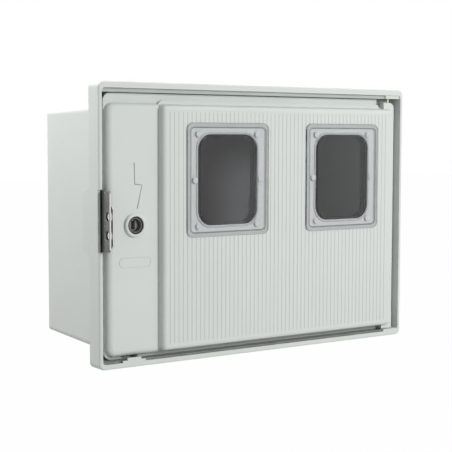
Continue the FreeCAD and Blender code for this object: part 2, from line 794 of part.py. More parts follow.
def hollow_door(body):
    """Hollow both panels from behind, so that they are skins and not blocks."""
    back = facing(body, "ribbed_hollow", "flange_back")
    add_rounded(back, "ribbed_left + ribbed_inset", "thumb_left - door_skin",
                "ribbed_bottom + ribbed_inset", "ribbed_top - ribbed_inset", "ribbed_corner")
    pocket(body, back, "skin_back - flange_back", backwards=True)
    side = facing(body, "panel_hollow", "flange_back")
    add_rounded(side, "panel_left + panel_inset", "ribbed_left - door_skin",
                "panel_bottom + panel_inset", "panel_top - panel_inset", "panel_corner / 2")
    pocket(body, side, "panel_face - door_skin - flange_back", backwards=True)
    ribs = facing(body, "stiffening_ribs", "skin_back + overlap")
    for number in range(int(mm("rib_count"))):
        foot = "ribbed_bottom + ribbed_inset + %d * rib_pitch" % (number + 1)
        add_rectangle(ribs, "ribbed_left + ribbed_inset - overlap", "thumb_left - door_skin + overlap",
                      foot, foot + " + rib_width")
    pad(body, ribs, "rib_depth + overlap", backwards=True)


def cut_door_corners(body):
    """Room for the bottom hinge lug, the slot beside the top pin, and the notch over the door rest."""
    below = facing(body, "bottom_corner", "ribbed_face + overlap")
    add_rectangle(below, "lug_left - relief_side", "door_right + overlap", "door_bottom - overlap",
                  "knuckle_bottom")
    pocket(body, below, "ribbed_face - flange_back + 2 * overlap")
    thumb = facing(body, "thumb_slot", "ribbed_face")
    add_rounded(thumb, "thumb_left", "thumb_right", "knuckle_top - thumb_slot_height",
                "knuckle_top + thumb_slot_corner + overlap", "thumb_slot_corner")
    pocket(body, thumb, "ribbed_face - flange_back + overlap")
    rest = facing(body, "rest_notch", "flange_front + overlap")
    half = "(rest_width / 2 - rest_shoulder + rest_clearance)"
    add_rectangle(rest, "rest_middle - " + half, "rest_middle + " + half,
                  "door_bottom - overlap", "opening_bottom + rest_height + rest_clearance / 2")
    pocket(body, rest, "flange + 2 * overlap")


def window_centres():
    return (("left", "window_middle - window_spacing / 2"), ("right", "window_middle + window_spacing / 2"))


def window_frame(sketch, middle, half_width, half_height, corner):
    add_rounded(sketch, "%s - (%s)" % (middle, half_width), "%s + (%s)" % (middle, half_width),
                "window_centre_height - (%s)" % half_height, "window_centre_height + (%s)" % half_height,
                corner)


def peg_places(middle):
    """A peg off each corner of the sight opening and one beside each of its upright edges."""
    places = []
    for sign in ("-", "+"):
        edge = "%s %s sight_half_width" % (middle, sign)
        places.append((edge, "window_centre_height - sight_half_height"))
        places.append(("%s %s peg_clear" % (edge, sign), "window_centre_height"))
        places.append((edge, "window_centre_height + sight_half_height"))
    return places


def cut_windows(body):
    seats = facing(body, "window_seats", "ribbed_face")
    openings = facing(body, "window_openings", "ribbed_face")
    pegs = facing(body, "peg_holes", "ribbed_face")
    for _, middle in window_centres():
        window_frame(seats, middle, "window_width / 2 + window_fit", "window_height / 2 + window_fit",
                     "window_corner")
        window_frame(openings, middle, "sight_half_width", "sight_half_height", "sight_corner")
        for x, z in peg_places(middle):
            add_circle(pegs, x, z, "peg_radius + window_fit")
    pocket(body, seats, "window_recess")
    pocket(body, openings, "ribbed_face - flange_back")
    pocket(body, pegs, "ribbed_face - flange_back")


def make_lock_seat(body):
    """A raised ring round the lock, a deep recess in it, and a boss behind the skin for the nut."""
    ring = facing(body, "lock_ring", "lock_boss_back")
    add_circle(ring, "lock_x", "lock_height", "ring_radius")
    pad(body, ring, "ring_crest - lock_boss_back")
    fillet(body, "ring_roll_edge", "ring_roll", lambda edge: on_stand(edge, mm("ring_crest")))
    recess = facing(body, "lock_recess", "ring_crest")
    add_circle(recess, "lock_x", "lock_height", "lock_recess_radius")
    pocket(body, recess, "lock_recess_depth")
    hole = facing(body, "lock_hole", "ring_crest")
    add_circle(hole, "lock_x", "lock_height", "lock_hole_radius")
    pocket(body, hole, "ring_crest - flange_back")


def make_hasp_seat(body):
    """A thick pad behind the panel's left edge, drilled for the hasp's two rivets."""
    seat = facing(body, "hasp_boss", "flange_back")
    add_rectangle(seat, "panel_left + panel_inset - overlap", "panel_left + panel_inset + hasp_boss_width",
                  "hasp_bottom - hasp_margin", "hasp_top + hasp_margin")
    pad(body, seat, "panel_face - door_skin / 2 - flange_back")
    holes = facing(body, "rivet_holes", "flange_back")
    for sign in ("-", "+"):
        add_circle(holes, "hasp_left + hasp_foot - rivet_head_radius",
                   "(hasp_bottom + hasp_top) / 2 %s rivet_spacing / 2" % sign, "rivet_radius")
    pocket(body, holes, "rivet_length", backwards=True)


def cut_grooves(body):
    """Fine upright grooves over the ribbed panel, one cut and its pattern."""
    first = "ribbed_left + groove_margin"
    profile = sketch_on(body, "groove", "XY_Plane", "ribbed_bottom + ribbed_run + groove_inset")
    add_polygon(profile, [
        (first + " - groove_width", "-ribbed_face - groove_depth"),
        (first + " + groove_width", "-ribbed_face - groove_depth"),
        (first, "-ribbed_face + groove_depth"),
    ])
    cutter = pocket(body, profile, "ribbed_top - ribbed_bottom - 2 * (ribbed_run + groove_inset)",
                    backwards=True)
    pattern = body.newObject("PartDesign::LinearPattern", "grooves")
    pattern.Originals = [cutter]
    axis = [item for item in body.Origin.OriginFeatures if item.Role == "X_Axis"][0]
    pattern.Direction = (axis, [""])
    pattern.setExpression("Length", bind("groove_pitch * (groove_count - 1)"))
    pattern.setExpression("Occurrences", bind("groove_count"))
    finish_feature(body, pattern)


# Windows

def make_window(name, middle):
    """One clear moulding: a plate with a raised bead, a collar through the door, and six pegs."""
    body = new_body("window_" + name)
    plate = facing(body, "plate_" + name, "window_back")
    window_frame(plate, middle, "window_width / 2", "window_height / 2", "window_corner")
    pad(body, plate, "window_plate")
    bead = facing(body, "bead_" + name, "window_front")
    window_frame(bead, middle, "window_width / 2", "window_height / 2", "window_corner")
    window_frame(bead, middle, "window_width / 2 - window_bead", "window_height / 2 - window_bead",
                 "window_corner - window_bead / 2")
    pad(body, bead, "window_bead_height")
    fillet(body, "bead_edge_" + name, "window_bead_roll",
           lambda edge: on_stand(edge, mm("window_front + window_bead_height")))
    collar = facing(body, "collar_" + name, "window_back")
    window_frame(collar, middle, "sight_half_width - window_fit", "sight_half_height - window_fit",
                 "sight_corner - window_fit")
    inner = "(window_fit + collar_wall)"
    window_frame(collar, middle, "sight_half_width - " + inner, "sight_half_height - " + inner,
                 "sight_corner - " + inner)
    pad(body, collar, "collar_length", backwards=True)
    pegs = facing(body, "pegs_" + name, "window_back")
    for x, z in peg_places(middle):
        add_circle(pegs, x, z, "peg_radius")
    pad(body, pegs, "peg_length", backwards=True)

    seal = new_body("window_seal_" + name)
    ring = facing(seal, "seal_ring_" + name, "window_seat")
    for reach in ("window_seal_margin", "(window_seal_margin + window_seal_width)"):
        window_frame(ring, middle, "sight_half_width + " + reach, "sight_half_height + " + reach,
                     "sight_corner + " + reach)
    pad(seal, ring, "window_seal")
    return [body, seal]


def make_push_nuts():
    nuts = []
    for name, middle in window_centres():
        for number, (x, z) in enumerate(peg_places(middle)):
            tag = "%s_%d" % (name, number)
            disc = block("disc_" + tag, x + " - push_nut_width / 2", x + " + push_nut_width / 2", "skin_back",
                         "skin_back - push_nut", z + " - push_nut_width / 2", z + " + push_nut_width / 2")
            hole = drum("grip_" + tag, "peg_radius", "skin_back", "skin_back - push_nut", x, z)
            nuts.append(cut("nut_" + tag, disc, hole))
    return group("window_push_nuts", nuts)


# Lock

def make_lock():
    at = ("lock_x", "lock_height")
    head = drum("lock_head", "lock_recess_radius - lock_fit", "lock_head_front", "lock_floor", *at)
    barrel = drum("lock_barrel", "lock_hole_radius - lock_fit", "lock_floor", "lock_body_back", *at)
    mouth = drum("lock_mouth", "lock_mouth_radius", "lock_head_front", "plug_face", *at)
    bore = drum("lock_bore", "plug_radius + bearing_gap", "plug_face", "lock_body_back", *at)
    housing = cut("lock_housing", joined("lock_turning", [head, barrel]), joined("lock_bores", [mouth, bore]))

    nut = new_body("lock_nut")
    hexagon = facing(nut, "nut_hexagon", "lock_boss_back - lock_nut")
    across = "lock_nut_across / 2"
    corner = "lock_nut_across / sqrt(3)"
    add_polygon(hexagon, [
        ("lock_x + " + corner, "lock_height"),
        ("lock_x + %s / 2" % corner, "lock_height + " + across),
        ("lock_x - %s / 2" % corner, "lock_height + " + across),
        ("lock_x - " + corner, "lock_height"),
        ("lock_x - %s / 2" % corner, "lock_height - " + across),
        ("lock_x + %s / 2" % corner, "lock_height - " + across),
    ])
    add_circle(hexagon, "lock_x", "lock_height", "lock_hole_radius - lock_fit")
    pad(nut, hexagon, "lock_nut")

    stem = drum("plug_stem", "plug_radius", "plug_face - running_gap", "cam_front", *at)
    spigot = drum("plug_spigot", "cam_spigot_radius", "cam_front", "cam_back", *at)
    slot = block("key_slot", "lock_x - key_slot_width / 2", "lock_x + key_slot_width / 2", "plug_face",
                 "plug_face - key_slot_depth", "lock_height - key_slot_height / 2",
                 "lock_height + key_slot_height / 2")
    tapping = drum("plug_tapping", "cam_screw_radius", "cam_back + cam_screw_length", "cam_back", *at)
    plug = cut("lock_plug", joined("plug_turning", [stem, spigot]), joined("plug_cuts", [slot, tapping]))

    cam = new_body("lock_cam")
    outline = facing(cam, "cam_outline", "cam_back")
    add_rounded(outline, "lock_x - cam_width / 2", "lock_x + cam_width / 2", "lock_height - cam_length",
                "lock_height + cam_width / 2", "cam_width / 2 - 1")
    add_circle(outline, "lock_x", "lock_height", "cam_spigot_radius")
    pad(cam, outline, "cam_thickness")

    ring = drum("washer_disc", "washer_radius", "cam_back", "cam_back - washer", *at)
    eye = drum("washer_eye", "cam_screw_radius", "cam_back", "cam_back - washer", *at)
    washer = cut("cam_washer", ring, eye)
    screw_head = drum("cam_screw_cap", "cam_screw_head_radius", "cam_back - washer",
                      "cam_back - washer - cam_screw_head", *at)
    screw_shank = drum("cam_screw_shank", "cam_screw_radius", "cam_back - washer + cam_screw_length - washer",
                       "cam_back - washer", *at)
    screw = joined("cam_screw", [screw_head, screw_shank])
    return [housing, nut, plug, cam, washer, screw]


# Padlock plates

def padlock_holes(sketch):
    for sign in ("-", "+"):
        add_circle(sketch, "-padlock_stand", "padlock_hole_height %s padlock_hole_spacing / 2" % sign,
                   "padlock_hole_radius")


def make_plate(label, left, front, back, bottom, top, foot, foot_front, foot_thickness, eyes):
    """A folded steel angle: an upright ear with two padlock holes, and a foot bent to the right."""
    body = new_body(label)
    ear = sketch_on(body, label + "_ear", "YZ_Plane", left)
    add_rectangle(ear, "-(%s)" % front, "-(%s)" % back, bottom, top)
    pad(body, ear, "plate_thickness")
    tip = mm(front)
    fillet(body, label + "_corners", "plate_corner",
           lambda edge: on_stand(edge, tip) and edge.BoundBox.XLength > edge.BoundBox.ZLength)
    base = facing(body, label + "_foot", foot_front)
    add_rectangle(base, left, "%s + %s" % (left, foot), bottom, top)
    pad(body, base, foot_thickness, backwards=True)
    holes = sketch_on(body, label + "_holes", "YZ_Plane", left)
    padlock_holes(holes)
    pocket(body, holes, "plate_thickness", backwards=True)
    fixing = facing(body, label + "_fixing", foot_front)
    for x, z in eyes:
        add_circle(fixing, x, z, "rivet_radius")
    pocket(body, fixing, foot_thickness)
    return body


def make_padlock_plates():
    screw_x = "plate_left + plate_thickness + plate_foot / 2"
    screw_eyes = [(screw_x, "plate_centre_height %s plate_screw_spacing / 2" % sign) for sign in ("-", "+")]
    plate = make_plate("padlock_plate", "plate_left", "case_depth + plate_reach", "ledge_front",
                       "plate_bottom", "plate_top", "plate_thickness + plate_foot",
                       "ledge_front + plate_thickness", "plate_thickness", screw_eyes)
    screws = []
    for number, (x, z) in enumerate(screw_eyes):
        head = drum("plate_head_%d" % number, "rivet_head_radius",
                    "ledge_front + plate_thickness + rivet_head", "ledge_front + plate_thickness", x, z)
        shank = drum("plate_shank_%d" % number, "rivet_radius", "ledge_front + plate_thickness",
                     "ledge_back + screw_floor", x, z)
        screws.append(joined("plate_screw_%d" % number, [head, shank]))

    rivet_x = "hasp_left + hasp_foot - rivet_head_radius"
    hasp_middle = "(hasp_bottom + hasp_top) / 2"
    rivet_eyes = [(rivet_x, "%s %s rivet_spacing / 2" % (hasp_middle, sign)) for sign in ("-", "+")]
    hasp = make_plate("door_hasp_plate", "hasp_left", "case_depth + hasp_reach",
                      "flange_back - hasp_foot_thickness", "hasp_bottom", "hasp_top", "hasp_foot",
                      "flange_back", "hasp_foot_thickness", rivet_eyes)
    rivets = []
    for number, (x, z) in enumerate(rivet_eyes):
        head = drum("rivet_head_%d" % number, "rivet_head_radius", "flange_back - hasp_foot_thickness",
                    "flange_back - hasp_foot_thickness - rivet_head", x, z)
        shank = drum("rivet_shank_%d" % number, "rivet_radius", "flange_back + rivet_length",
                     "flange_back - hasp_foot_thickness", x, z)
        rivets.append(joined("rivet_%d" % number, [head, shank]))
    return [plate, group("padlock_plate_screws", screws), hasp, group("hasp_rivets", rivets)]


def check_and_write(pieces):
    doc.recompute()
    for item in doc.Objects:
        if "Invalid" in item.State or "Error" in item.State:
            raise RuntimeError("%s is %s" % (item.Name, item.State))
    for piece in pieces:
        if piece.Shape.isNull() or not piece.Shape.isValid():
            raise RuntimeError(piece.Label + " has no valid shape")
    os.makedirs("parts", exist_ok=True)
    for piece in pieces:
        piece.Shape.exportStep("parts/%s.step" % piece.Label)
        print("%-24s %2d solids %10.1f mm3" % (piece.Label, len(piece.Shape.Solids), piece.Shape.Volume))


fill_sheets()
pieces = [make_enclosure(), make_seal(), make_meter_board()]
pieces += make_board_fixings()
pieces += make_hinge_pins()
pieces.append(make_door())
for side, centre in window_centres():
    pieces += make_window(side, centre)
pieces.append(make_push_nuts())
pieces += make_lock()
pieces += make_padlock_plates()
check_and_write(pieces)
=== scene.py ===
# %% [markdown]
# # The looks of an electric meter box
# The construction comes ready made: a tub, a deep rim, a hinged door with two clear windows, a lock and two
# padlock plates, all at their real size. This lesson gives every surface its finish, adds the small moulded
# and pressed details that only matter to the eye, and sets up the studio in which the box is looked at.

# %% Load the frame
import json
import math

import bpy
from mathutils import Euler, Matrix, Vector


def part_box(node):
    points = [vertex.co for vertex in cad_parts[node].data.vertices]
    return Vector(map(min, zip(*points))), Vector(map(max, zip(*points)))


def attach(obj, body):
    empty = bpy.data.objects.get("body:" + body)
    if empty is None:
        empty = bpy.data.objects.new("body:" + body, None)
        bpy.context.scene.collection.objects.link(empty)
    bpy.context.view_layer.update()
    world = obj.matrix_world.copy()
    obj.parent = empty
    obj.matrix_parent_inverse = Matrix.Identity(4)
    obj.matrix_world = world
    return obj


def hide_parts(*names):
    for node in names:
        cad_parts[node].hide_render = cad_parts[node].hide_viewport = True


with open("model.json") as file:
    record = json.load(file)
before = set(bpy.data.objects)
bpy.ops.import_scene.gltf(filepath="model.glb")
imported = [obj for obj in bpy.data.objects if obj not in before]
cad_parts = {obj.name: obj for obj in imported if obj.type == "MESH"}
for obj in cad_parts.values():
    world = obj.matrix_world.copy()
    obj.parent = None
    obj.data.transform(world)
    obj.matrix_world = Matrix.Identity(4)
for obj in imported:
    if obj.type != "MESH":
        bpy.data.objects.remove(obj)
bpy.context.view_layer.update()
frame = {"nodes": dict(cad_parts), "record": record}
nodes = frame["nodes"]
scene = bpy.context.scene
MM = 0.001

# %% [markdown]
# ## The camera
# The box is seen from its left and from a little above its middle. The place and the lens were found by
# laying the model's rim corners and window frames over those of a photograph, so they are written down as
# found.

# %% Camera
CAMERA_PLACE = (-0.99887, -1.55482, 0.12289)
CAMERA_TURN_DEG = (85.68, -0.138, -34.663)
CAMERA_LENS_MM = 94.213
CAMERA_SENSOR_MM = 36

camera_data = bpy.data.cameras.new("studio_camera")
camera_data.lens = CAMERA_LENS_MM
camera_data.sensor_width = CAMERA_SENSOR_MM
camera = bpy.data.objects.new("studio_camera", camera_data)
camera.location = CAMERA_PLACE
camera.rotation_euler = Euler([math.radians(angle) for angle in CAMERA_TURN_DEG])
scene.collection.objects.link(camera)
scene.camera = camera
print("camera at", tuple(camera.location))

# %% [markdown]
# ## The studio
# A catalogue picture of a pale box on white needs soft light that still lets the steps of the door read.
# The main lamp stands in front, to the right and a little above the box. A weak one hangs overhead. A third
# stands to the left, high and behind the front plane, so that it lights the tub's side and the rim's edge,
# while the rim shades the steps of the door. The front lamp is hidden from reflections, as a screen would
# hide it, so that the windows stay dark. The surround is dim for diffuse light and plain white for the
# camera, for reflections and for what is seen through the windows. The floor lies well below, because the
# box hangs on a wall. The surround is a tree of nodes, as every finish will be, so the helpers that add,
# wire and feed a node come first.


# %% Helpers for nodes
def add_node(tree, kind, **settings):
    """A node of the tree with some of its settings made."""
    node = tree.nodes.new(kind)
    for key, value in settings.items():
        setattr(node, key, value)
    return node


def link(tree, start, end):
    """One wire of a node tree, from an output socket to an input socket."""
    tree.links.new(start, end)


def feed(tree, value, socket):
    """What an input socket gets: a wire from another socket, or a plain number."""
    if isinstance(value, bpy.types.NodeSocket):
        link(tree, value, socket)
    else:
        socket.default_value = value


def maths(tree, operation, first, second=0.0):
    """A sum, product or comparison of two sockets or numbers."""
    node = add_node(tree, "ShaderNodeMath", operation=operation)
    feed(tree, first, node.inputs[0])
    feed(tree, second, node.inputs[1])
    return node.outputs["Value"]


def choose_shader(tree, share, first, second, end):
    """Two shaders mixed by a share from 0 to 1, as the end of a tree."""
    choice = add_node(tree, "ShaderNodeMixShader")
    link(tree, share, choice.inputs["Fac"])
    link(tree, first, choice.inputs[1])
    link(tree, second, choice.inputs[2])
    link(tree, choice.outputs["Shader"], tree.nodes[end].inputs["Surface"])


print("node helpers ready")

# %% Colour handling and surround
SURROUND_LIGHT = 0.36
WHITE = (1, 1, 1, 1)
FIRST_BOUNCE = 0.5
scene.view_settings.view_transform = "Standard"


def seen_directly(tree):
    """1 for rays from the camera, from reflections and through clear plastic, and 0 for diffuse light."""
    path = add_node(tree, "ShaderNodeLightPath").outputs
    plain_or_mirrored = maths(tree, "MAXIMUM", path["Is Camera Ray"], path["Is Glossy Ray"])
    seen = maths(tree, "MAXIMUM", plain_or_mirrored, path["Is Transmission Ray"])
    return maths(tree, "MULTIPLY", seen, maths(tree, "LESS_THAN", path["Diffuse Depth"], FIRST_BOUNCE))


world = bpy.data.worlds.new("studio_surround")
world.use_nodes = True
scene.world = world
sky_tree = world.node_tree
soft_sky = sky_tree.nodes["Background"]
soft_sky.inputs["Color"].default_value = WHITE
soft_sky.inputs["Strength"].default_value = SURROUND_LIGHT
white_sky = add_node(sky_tree, "ShaderNodeBackground")
white_sky.inputs["Color"].default_value = WHITE
choose_shader(sky_tree, seen_directly(sky_tree), soft_sky.outputs["Background"],
              white_sky.outputs["Background"], "World Output")
print("surround:", SURROUND_LIGHT, "for diffuse light, 1 where it is seen")

# %% Lamps
LAMPS = {
    "front_lamp": {"place": (0.58, -2.05, 0.58), "aim": (0.1, -0.2, 0.0), "side": 0.6, "watts": 24.6},
    "overhead_lamp": {"place": (0.2, -0.6, 1.9), "aim": (0.0, -0.15, 0.0), "side": 1.4, "watts": 5.5},
    "side_lamp": {"place": (-0.75, 0.25, 0.95), "aim": (-0.25, -0.1, 0.1), "side": 0.5, "watts": 12.5},
}
for lamp_name, lamp in LAMPS.items():
    lamp_data = bpy.data.lights.new(lamp_name, "AREA")
    lamp_data.size = lamp["side"]
    lamp_data.energy = lamp["watts"]
    lamp_object = bpy.data.objects.new(lamp_name, lamp_data)
    lamp_object.location = lamp["place"]
    looks_along = Vector(lamp["aim"]) - Vector(lamp["place"])
    lamp_object.rotation_euler = looks_along.to_track_quat("-Z", "Y").to_euler()
    lamp_object.visible_camera = False
    screened = lamp_name == "front_lamp"
    lamp_object.visible_glossy = not screened
    lamp_object.visible_transmission = not screened
    scene.collection.objects.link(lamp_object)
print("lamps:", sorted(LAMPS))

# %% Floor
FLOOR_BELOW = 1.2
FLOOR_SIDE = 60
FLOOR_COLOUR = (0.85, 0.85, 0.85, 1)
FLOOR_ROUGHNESS = 0.9
FLOOR_WHITENESS = 0.985


def new_finish(name):
    """A material with its node tree and its shader."""
    material = bpy.data.materials.new(name)
    material.use_nodes = True
    return material, material.node_tree, material.node_tree.nodes["Principled BSDF"]


bpy.ops.object.select_all(action="DESELECT")
bpy.ops.mesh.primitive_plane_add(size=FLOOR_SIDE, location=(0, 0, -FLOOR_BELOW))
floor = bpy.context.object
floor.name = "floor"

pale_floor, floor_tree, floor_shader = new_finish("pale_floor")
floor_shader.inputs["Base Color"].default_value = FLOOR_COLOUR
floor_shader.inputs["Roughness"].default_value = FLOOR_ROUGHNESS
floor_white = add_node(floor_tree, "ShaderNodeEmission")
floor_share = maths(floor_tree, "MULTIPLY", seen_directly(floor_tree), FLOOR_WHITENESS)
choose_shader(floor_tree, floor_share, floor_shader.outputs["BSDF"], floor_white.outputs["Emission"],
              "Material Output")
floor.data.materials.append(pale_floor)
print("floor", FLOOR_BELOW, "m below the middle of the box")

# %% [markdown]
# ## Effects that several finishes share
# Three effects come back in most of the materials. Moulded plastic has clouds where the compound flowed, a
# fine speckle and an orange-peel surface. Plated and turned metal has fine lines along the way it was
# worked. Every real edge is a little round and rubbed a little paler, and that paler edge is partly a painted
# highlight along the edges. Each effect is a node group with its own inputs, so that each finish can use it
# at its own strength and scale.

# %% Helpers for node groups
WIDE_NOISE = (0.3, 0.7)
NARROW_NOISE = (0.35, 0.65)
MIDDLE_NOISE = 0.5


def new_group(name, inputs, outputs):
    """An empty node group with its named sockets, its input node and its output node."""
    group = bpy.data.node_groups.new(name, "ShaderNodeTree")
    for label, (kind, value) in inputs.items():
        socket = group.interface.new_socket(label, in_out="INPUT", socket_type=kind)
        socket.default_value = value
    for label, kind in outputs.items():
        group.interface.new_socket(label, in_out="OUTPUT", socket_type=kind)
    return group, group.nodes.new("NodeGroupInput"), group.nodes.new("NodeGroupOutput")


def own_place(tree):
    """Where a point lies on its own object."""
    return add_node(tree, "ShaderNodeTexCoord").outputs["Object"]


def noise(tree, place, scale, detail=2.0, distortion=0.0):
    """A noise texture at a place, with a plain number or a socket for its scale."""
    node = add_node(tree, "ShaderNodeTexNoise")
    link(tree, place, node.inputs["Vector"])
    feed(tree, scale, node.inputs["Scale"])
    node.inputs["Detail"].default_value = detail
    node.inputs["Distortion"].default_value = distortion
    return node.outputs["Fac"]


def spread(tree, value, from_low, from_high, to_low=0.0, to_high=1.0):
    """A value moved from one range to another, held at the ends."""
    node = add_node(tree, "ShaderNodeMapRange")
    ends = {"From Min": from_low, "From Max": from_high, "To Min": to_low, "To Max": to_high}
    link(tree, value, node.inputs["Value"])
    for label, end in ends.items():
        feed(tree, end, node.inputs[label])
    return node.outputs["Result"]


def weighted(tree, *pairs):
    """A sum of sockets, each times its weight."""
    products = [maths(tree, "MULTIPLY", value, weight) for value, weight in pairs]
    total = products[0]
    for product in products[1:]:
        total = maths(tree, "ADD", total, product)
    return total


def blend_colours(tree, share, first, second):
    """Two colours mixed by a share from 0 to 1."""
    node = add_node(tree, "ShaderNodeMix", data_type="RGBA")
    link(tree, share, node.inputs["Factor"])
    link(tree, first, node.inputs["A"])
    link(tree, second, node.inputs["B"])
    return node.outputs["Result"]


print("group helpers ready")

# %% Group: moulded finish
STRAND_SCALE = 55.0
STRAND_HALF_WIDTH = 0.05
CLOUD_WEIGHT = 0.55
SPECKLE_WEIGHT = 0.3
STRAND_WEIGHT = 0.15
HALF_WEIGHT = 0.5
SPECKLE_HEIGHT = 0.35

moulded_finish, moulded_in, moulded_out = new_group(
    "moulded_finish",
    {
        "Colour": ("NodeSocketColor", (0.7, 0.7, 0.7, 1)),
        "Cloud Colour": ("NodeSocketColor", (0.6, 0.6, 0.6, 1)),
        "Cloud Scale": ("NodeSocketFloat", 9.0),
        "Speckle Scale": ("NodeSocketFloat", 900.0),
        "Peel Scale": ("NodeSocketFloat", 260.0),
        "Rough Low": ("NodeSocketFloat", 0.4),
        "Rough High": ("NodeSocketFloat", 0.55),
    },
    {"Colour": "NodeSocketColor", "Roughness": "NodeSocketFloat", "Height": "NodeSocketFloat"},
)
moulded_place = own_place(moulded_finish)
clouds = noise(moulded_finish, moulded_place, moulded_in.outputs["Cloud Scale"], detail=4.0, distortion=0.6)
speckle = noise(moulded_finish, moulded_place, moulded_in.outputs["Speckle Scale"], detail=1.0)
strand_noise = noise(moulded_finish, moulded_place, STRAND_SCALE, detail=3.0, distortion=2.2)
from_strand = maths(moulded_finish, "ABSOLUTE", maths(moulded_finish, "SUBTRACT", strand_noise, MIDDLE_NOISE))
strands = spread(moulded_finish, from_strand, 0.0, STRAND_HALF_WIDTH, 1.0, 0.0)
cloud_share = spread(moulded_finish, clouds, *WIDE_NOISE)
speckle_share = spread(moulded_finish, speckle, *NARROW_NOISE)
tone = weighted(moulded_finish, (cloud_share, CLOUD_WEIGHT), (speckle_share, SPECKLE_WEIGHT),
                (strands, STRAND_WEIGHT))
moulded_colour = blend_colours(moulded_finish, tone, moulded_in.outputs["Colour"],
                               moulded_in.outputs["Cloud Colour"])
dullness = weighted(moulded_finish, (cloud_share, HALF_WEIGHT), (speckle_share, HALF_WEIGHT))
moulded_roughness = spread(moulded_finish, dullness, 0.0, 1.0, moulded_in.outputs["Rough Low"],
                           moulded_in.outputs["Rough High"])
peel = noise(moulded_finish, moulded_place, moulded_in.outputs["Peel Scale"])
speckle_height = maths(moulded_finish, "MULTIPLY", speckle, SPECKLE_HEIGHT)
moulded_height = maths(moulded_finish, "ADD", peel, speckle_height)
link(moulded_finish, moulded_colour, moulded_out.inputs["Colour"])
link(moulded_finish, moulded_roughness, moulded_out.inputs["Roughness"])
link(moulded_finish, moulded_height, moulded_out.inputs["Height"])
print("group:", moulded_finish.name)

# %% Group: worked metal
STAIN_SCALE = 70.0
STAIN_NOISE = (0.35, 0.7)

worked_metal, metal_in, metal_out = new_group(
    "worked_metal",
    {
        "Colour": ("NodeSocketColor", (0.6, 0.6, 0.6, 1)),
        "Cloud Colour": ("NodeSocketColor", (0.45, 0.45, 0.45, 1)),
        "Line Stretch": ("NodeSocketVector", (900.0, 900.0, 40.0)),
        "Rough Low": ("NodeSocketFloat", 0.25),
        "Rough High": ("NodeSocketFloat", 0.45),
    },
    {"Colour": "NodeSocketColor", "Roughness": "NodeSocketFloat", "Height": "NodeSocketFloat"},
)
metal_place = own_place(worked_metal)
stretched = add_node(worked_metal, "ShaderNodeVectorMath", operation="MULTIPLY")
link(worked_metal, metal_place, stretched.inputs[0])
link(worked_metal, metal_in.outputs["Line Stretch"], stretched.inputs[1])
lines = noise(worked_metal, stretched.outputs["Vector"], 1.0, detail=3.0)
stains = noise(worked_metal, metal_place, STAIN_SCALE, detail=4.0, distortion=0.5)
line_share = spread(worked_metal, lines, *WIDE_NOISE)
stain_share = spread(worked_metal, stains, *STAIN_NOISE)
metal_share = weighted(worked_metal, (line_share, HALF_WEIGHT), (stain_share, HALF_WEIGHT))
metal_colour = blend_colours(worked_metal, metal_share, metal_in.outputs["Colour"],
                             metal_in.outputs["Cloud Colour"])
metal_roughness = spread(worked_metal, metal_share, 0.0, 1.0, metal_in.outputs["Rough Low"],
                         metal_in.outputs["Rough High"])
link(worked_metal, metal_colour, metal_out.inputs["Colour"])
link(worked_metal, metal_roughness, metal_out.inputs["Roughness"])
link(worked_metal, lines, metal_out.inputs["Height"])
print("group:", worked_metal.name)

# %% Group: rubbed edges, partly painted highlight
EDGE_RADIUS = 0.9 * MM
EDGE_LIKENESS = (0.98, 0.8)
EDGE_PATCH_SCALE = 120.0

rubbed_and_highlit_edges, edge_in, edge_out = new_group(
    "rubbed_and_highlit_edges",
    {
        "Colour": ("NodeSocketColor", (0.7, 0.7, 0.7, 1)),
        "Edge Colour": ("NodeSocketColor", (0.8, 0.8, 0.8, 1)),
        "Strength": ("NodeSocketFloat", 0.5),
    },
    {"Colour": "NodeSocketColor", "Normal": "NodeSocketVector"},
)
rounding = add_node(rubbed_and_highlit_edges, "ShaderNodeBevel", samples=4)
rounding.inputs["Radius"].default_value = EDGE_RADIUS
flat_normal = add_node(rubbed_and_highlit_edges, "ShaderNodeNewGeometry").outputs["Normal"]
likeness = add_node(rubbed_and_highlit_edges, "ShaderNodeVectorMath", operation="DOT_PRODUCT")
link(rubbed_and_highlit_edges, rounding.outputs["Normal"], likeness.inputs[0])
link(rubbed_and_highlit_edges, flat_normal, likeness.inputs[1])
# Paler on edges: partly rubbing, partly a painted highlight.
edge_share = spread(rubbed_and_highlit_edges, likeness.outputs["Value"], *EDGE_LIKENESS)
edge_patch_noise = noise(rubbed_and_highlit_edges, own_place(rubbed_and_highlit_edges), EDGE_PATCH_SCALE, detail=3.0)
patchy_share = maths(rubbed_and_highlit_edges, "MULTIPLY", edge_share, spread(rubbed_and_highlit_edges, edge_patch_noise, *NARROW_NOISE))
rub_and_highlight = maths(rubbed_and_highlit_edges, "MULTIPLY", patchy_share, edge_in.outputs["Strength"])
rubbed_and_highlit_colour = blend_colours(rubbed_and_highlit_edges, rub_and_highlight, edge_in.outputs["Colour"], edge_in.outputs["Edge Colour"])
link(rubbed_and_highlit_edges, rubbed_and_highlit_colour, edge_out.inputs["Colour"])
link(rubbed_and_highlit_edges, rounding.outputs["Normal"], edge_out.inputs["Normal"])
print("group:", rubbed_and_highlit_edges.name)

# %% [markdown]
# ## The finishes
# The box and its door are pressed from glass-reinforced polyester, pale grey with a breath of green. The
# board inside is a dull grey laminate and the lock a dark polyamide, so these share the moulded effect. The
# plates and fixings are zinc-plated steel and the pins and inserts brass, so these two share the worked
# metal. The two padlock plates have gone dull on their faces, and their edges get a pale colour, a painted
# highlight.


# %% Helpers for materials
def place_group(tree, group, values):
    """A node group in a material, with its own values."""
    node = add_node(tree, "ShaderNodeGroup", node_tree=group)
    for label, value in values.items():
        node.inputs[label].default_value = value
    return node


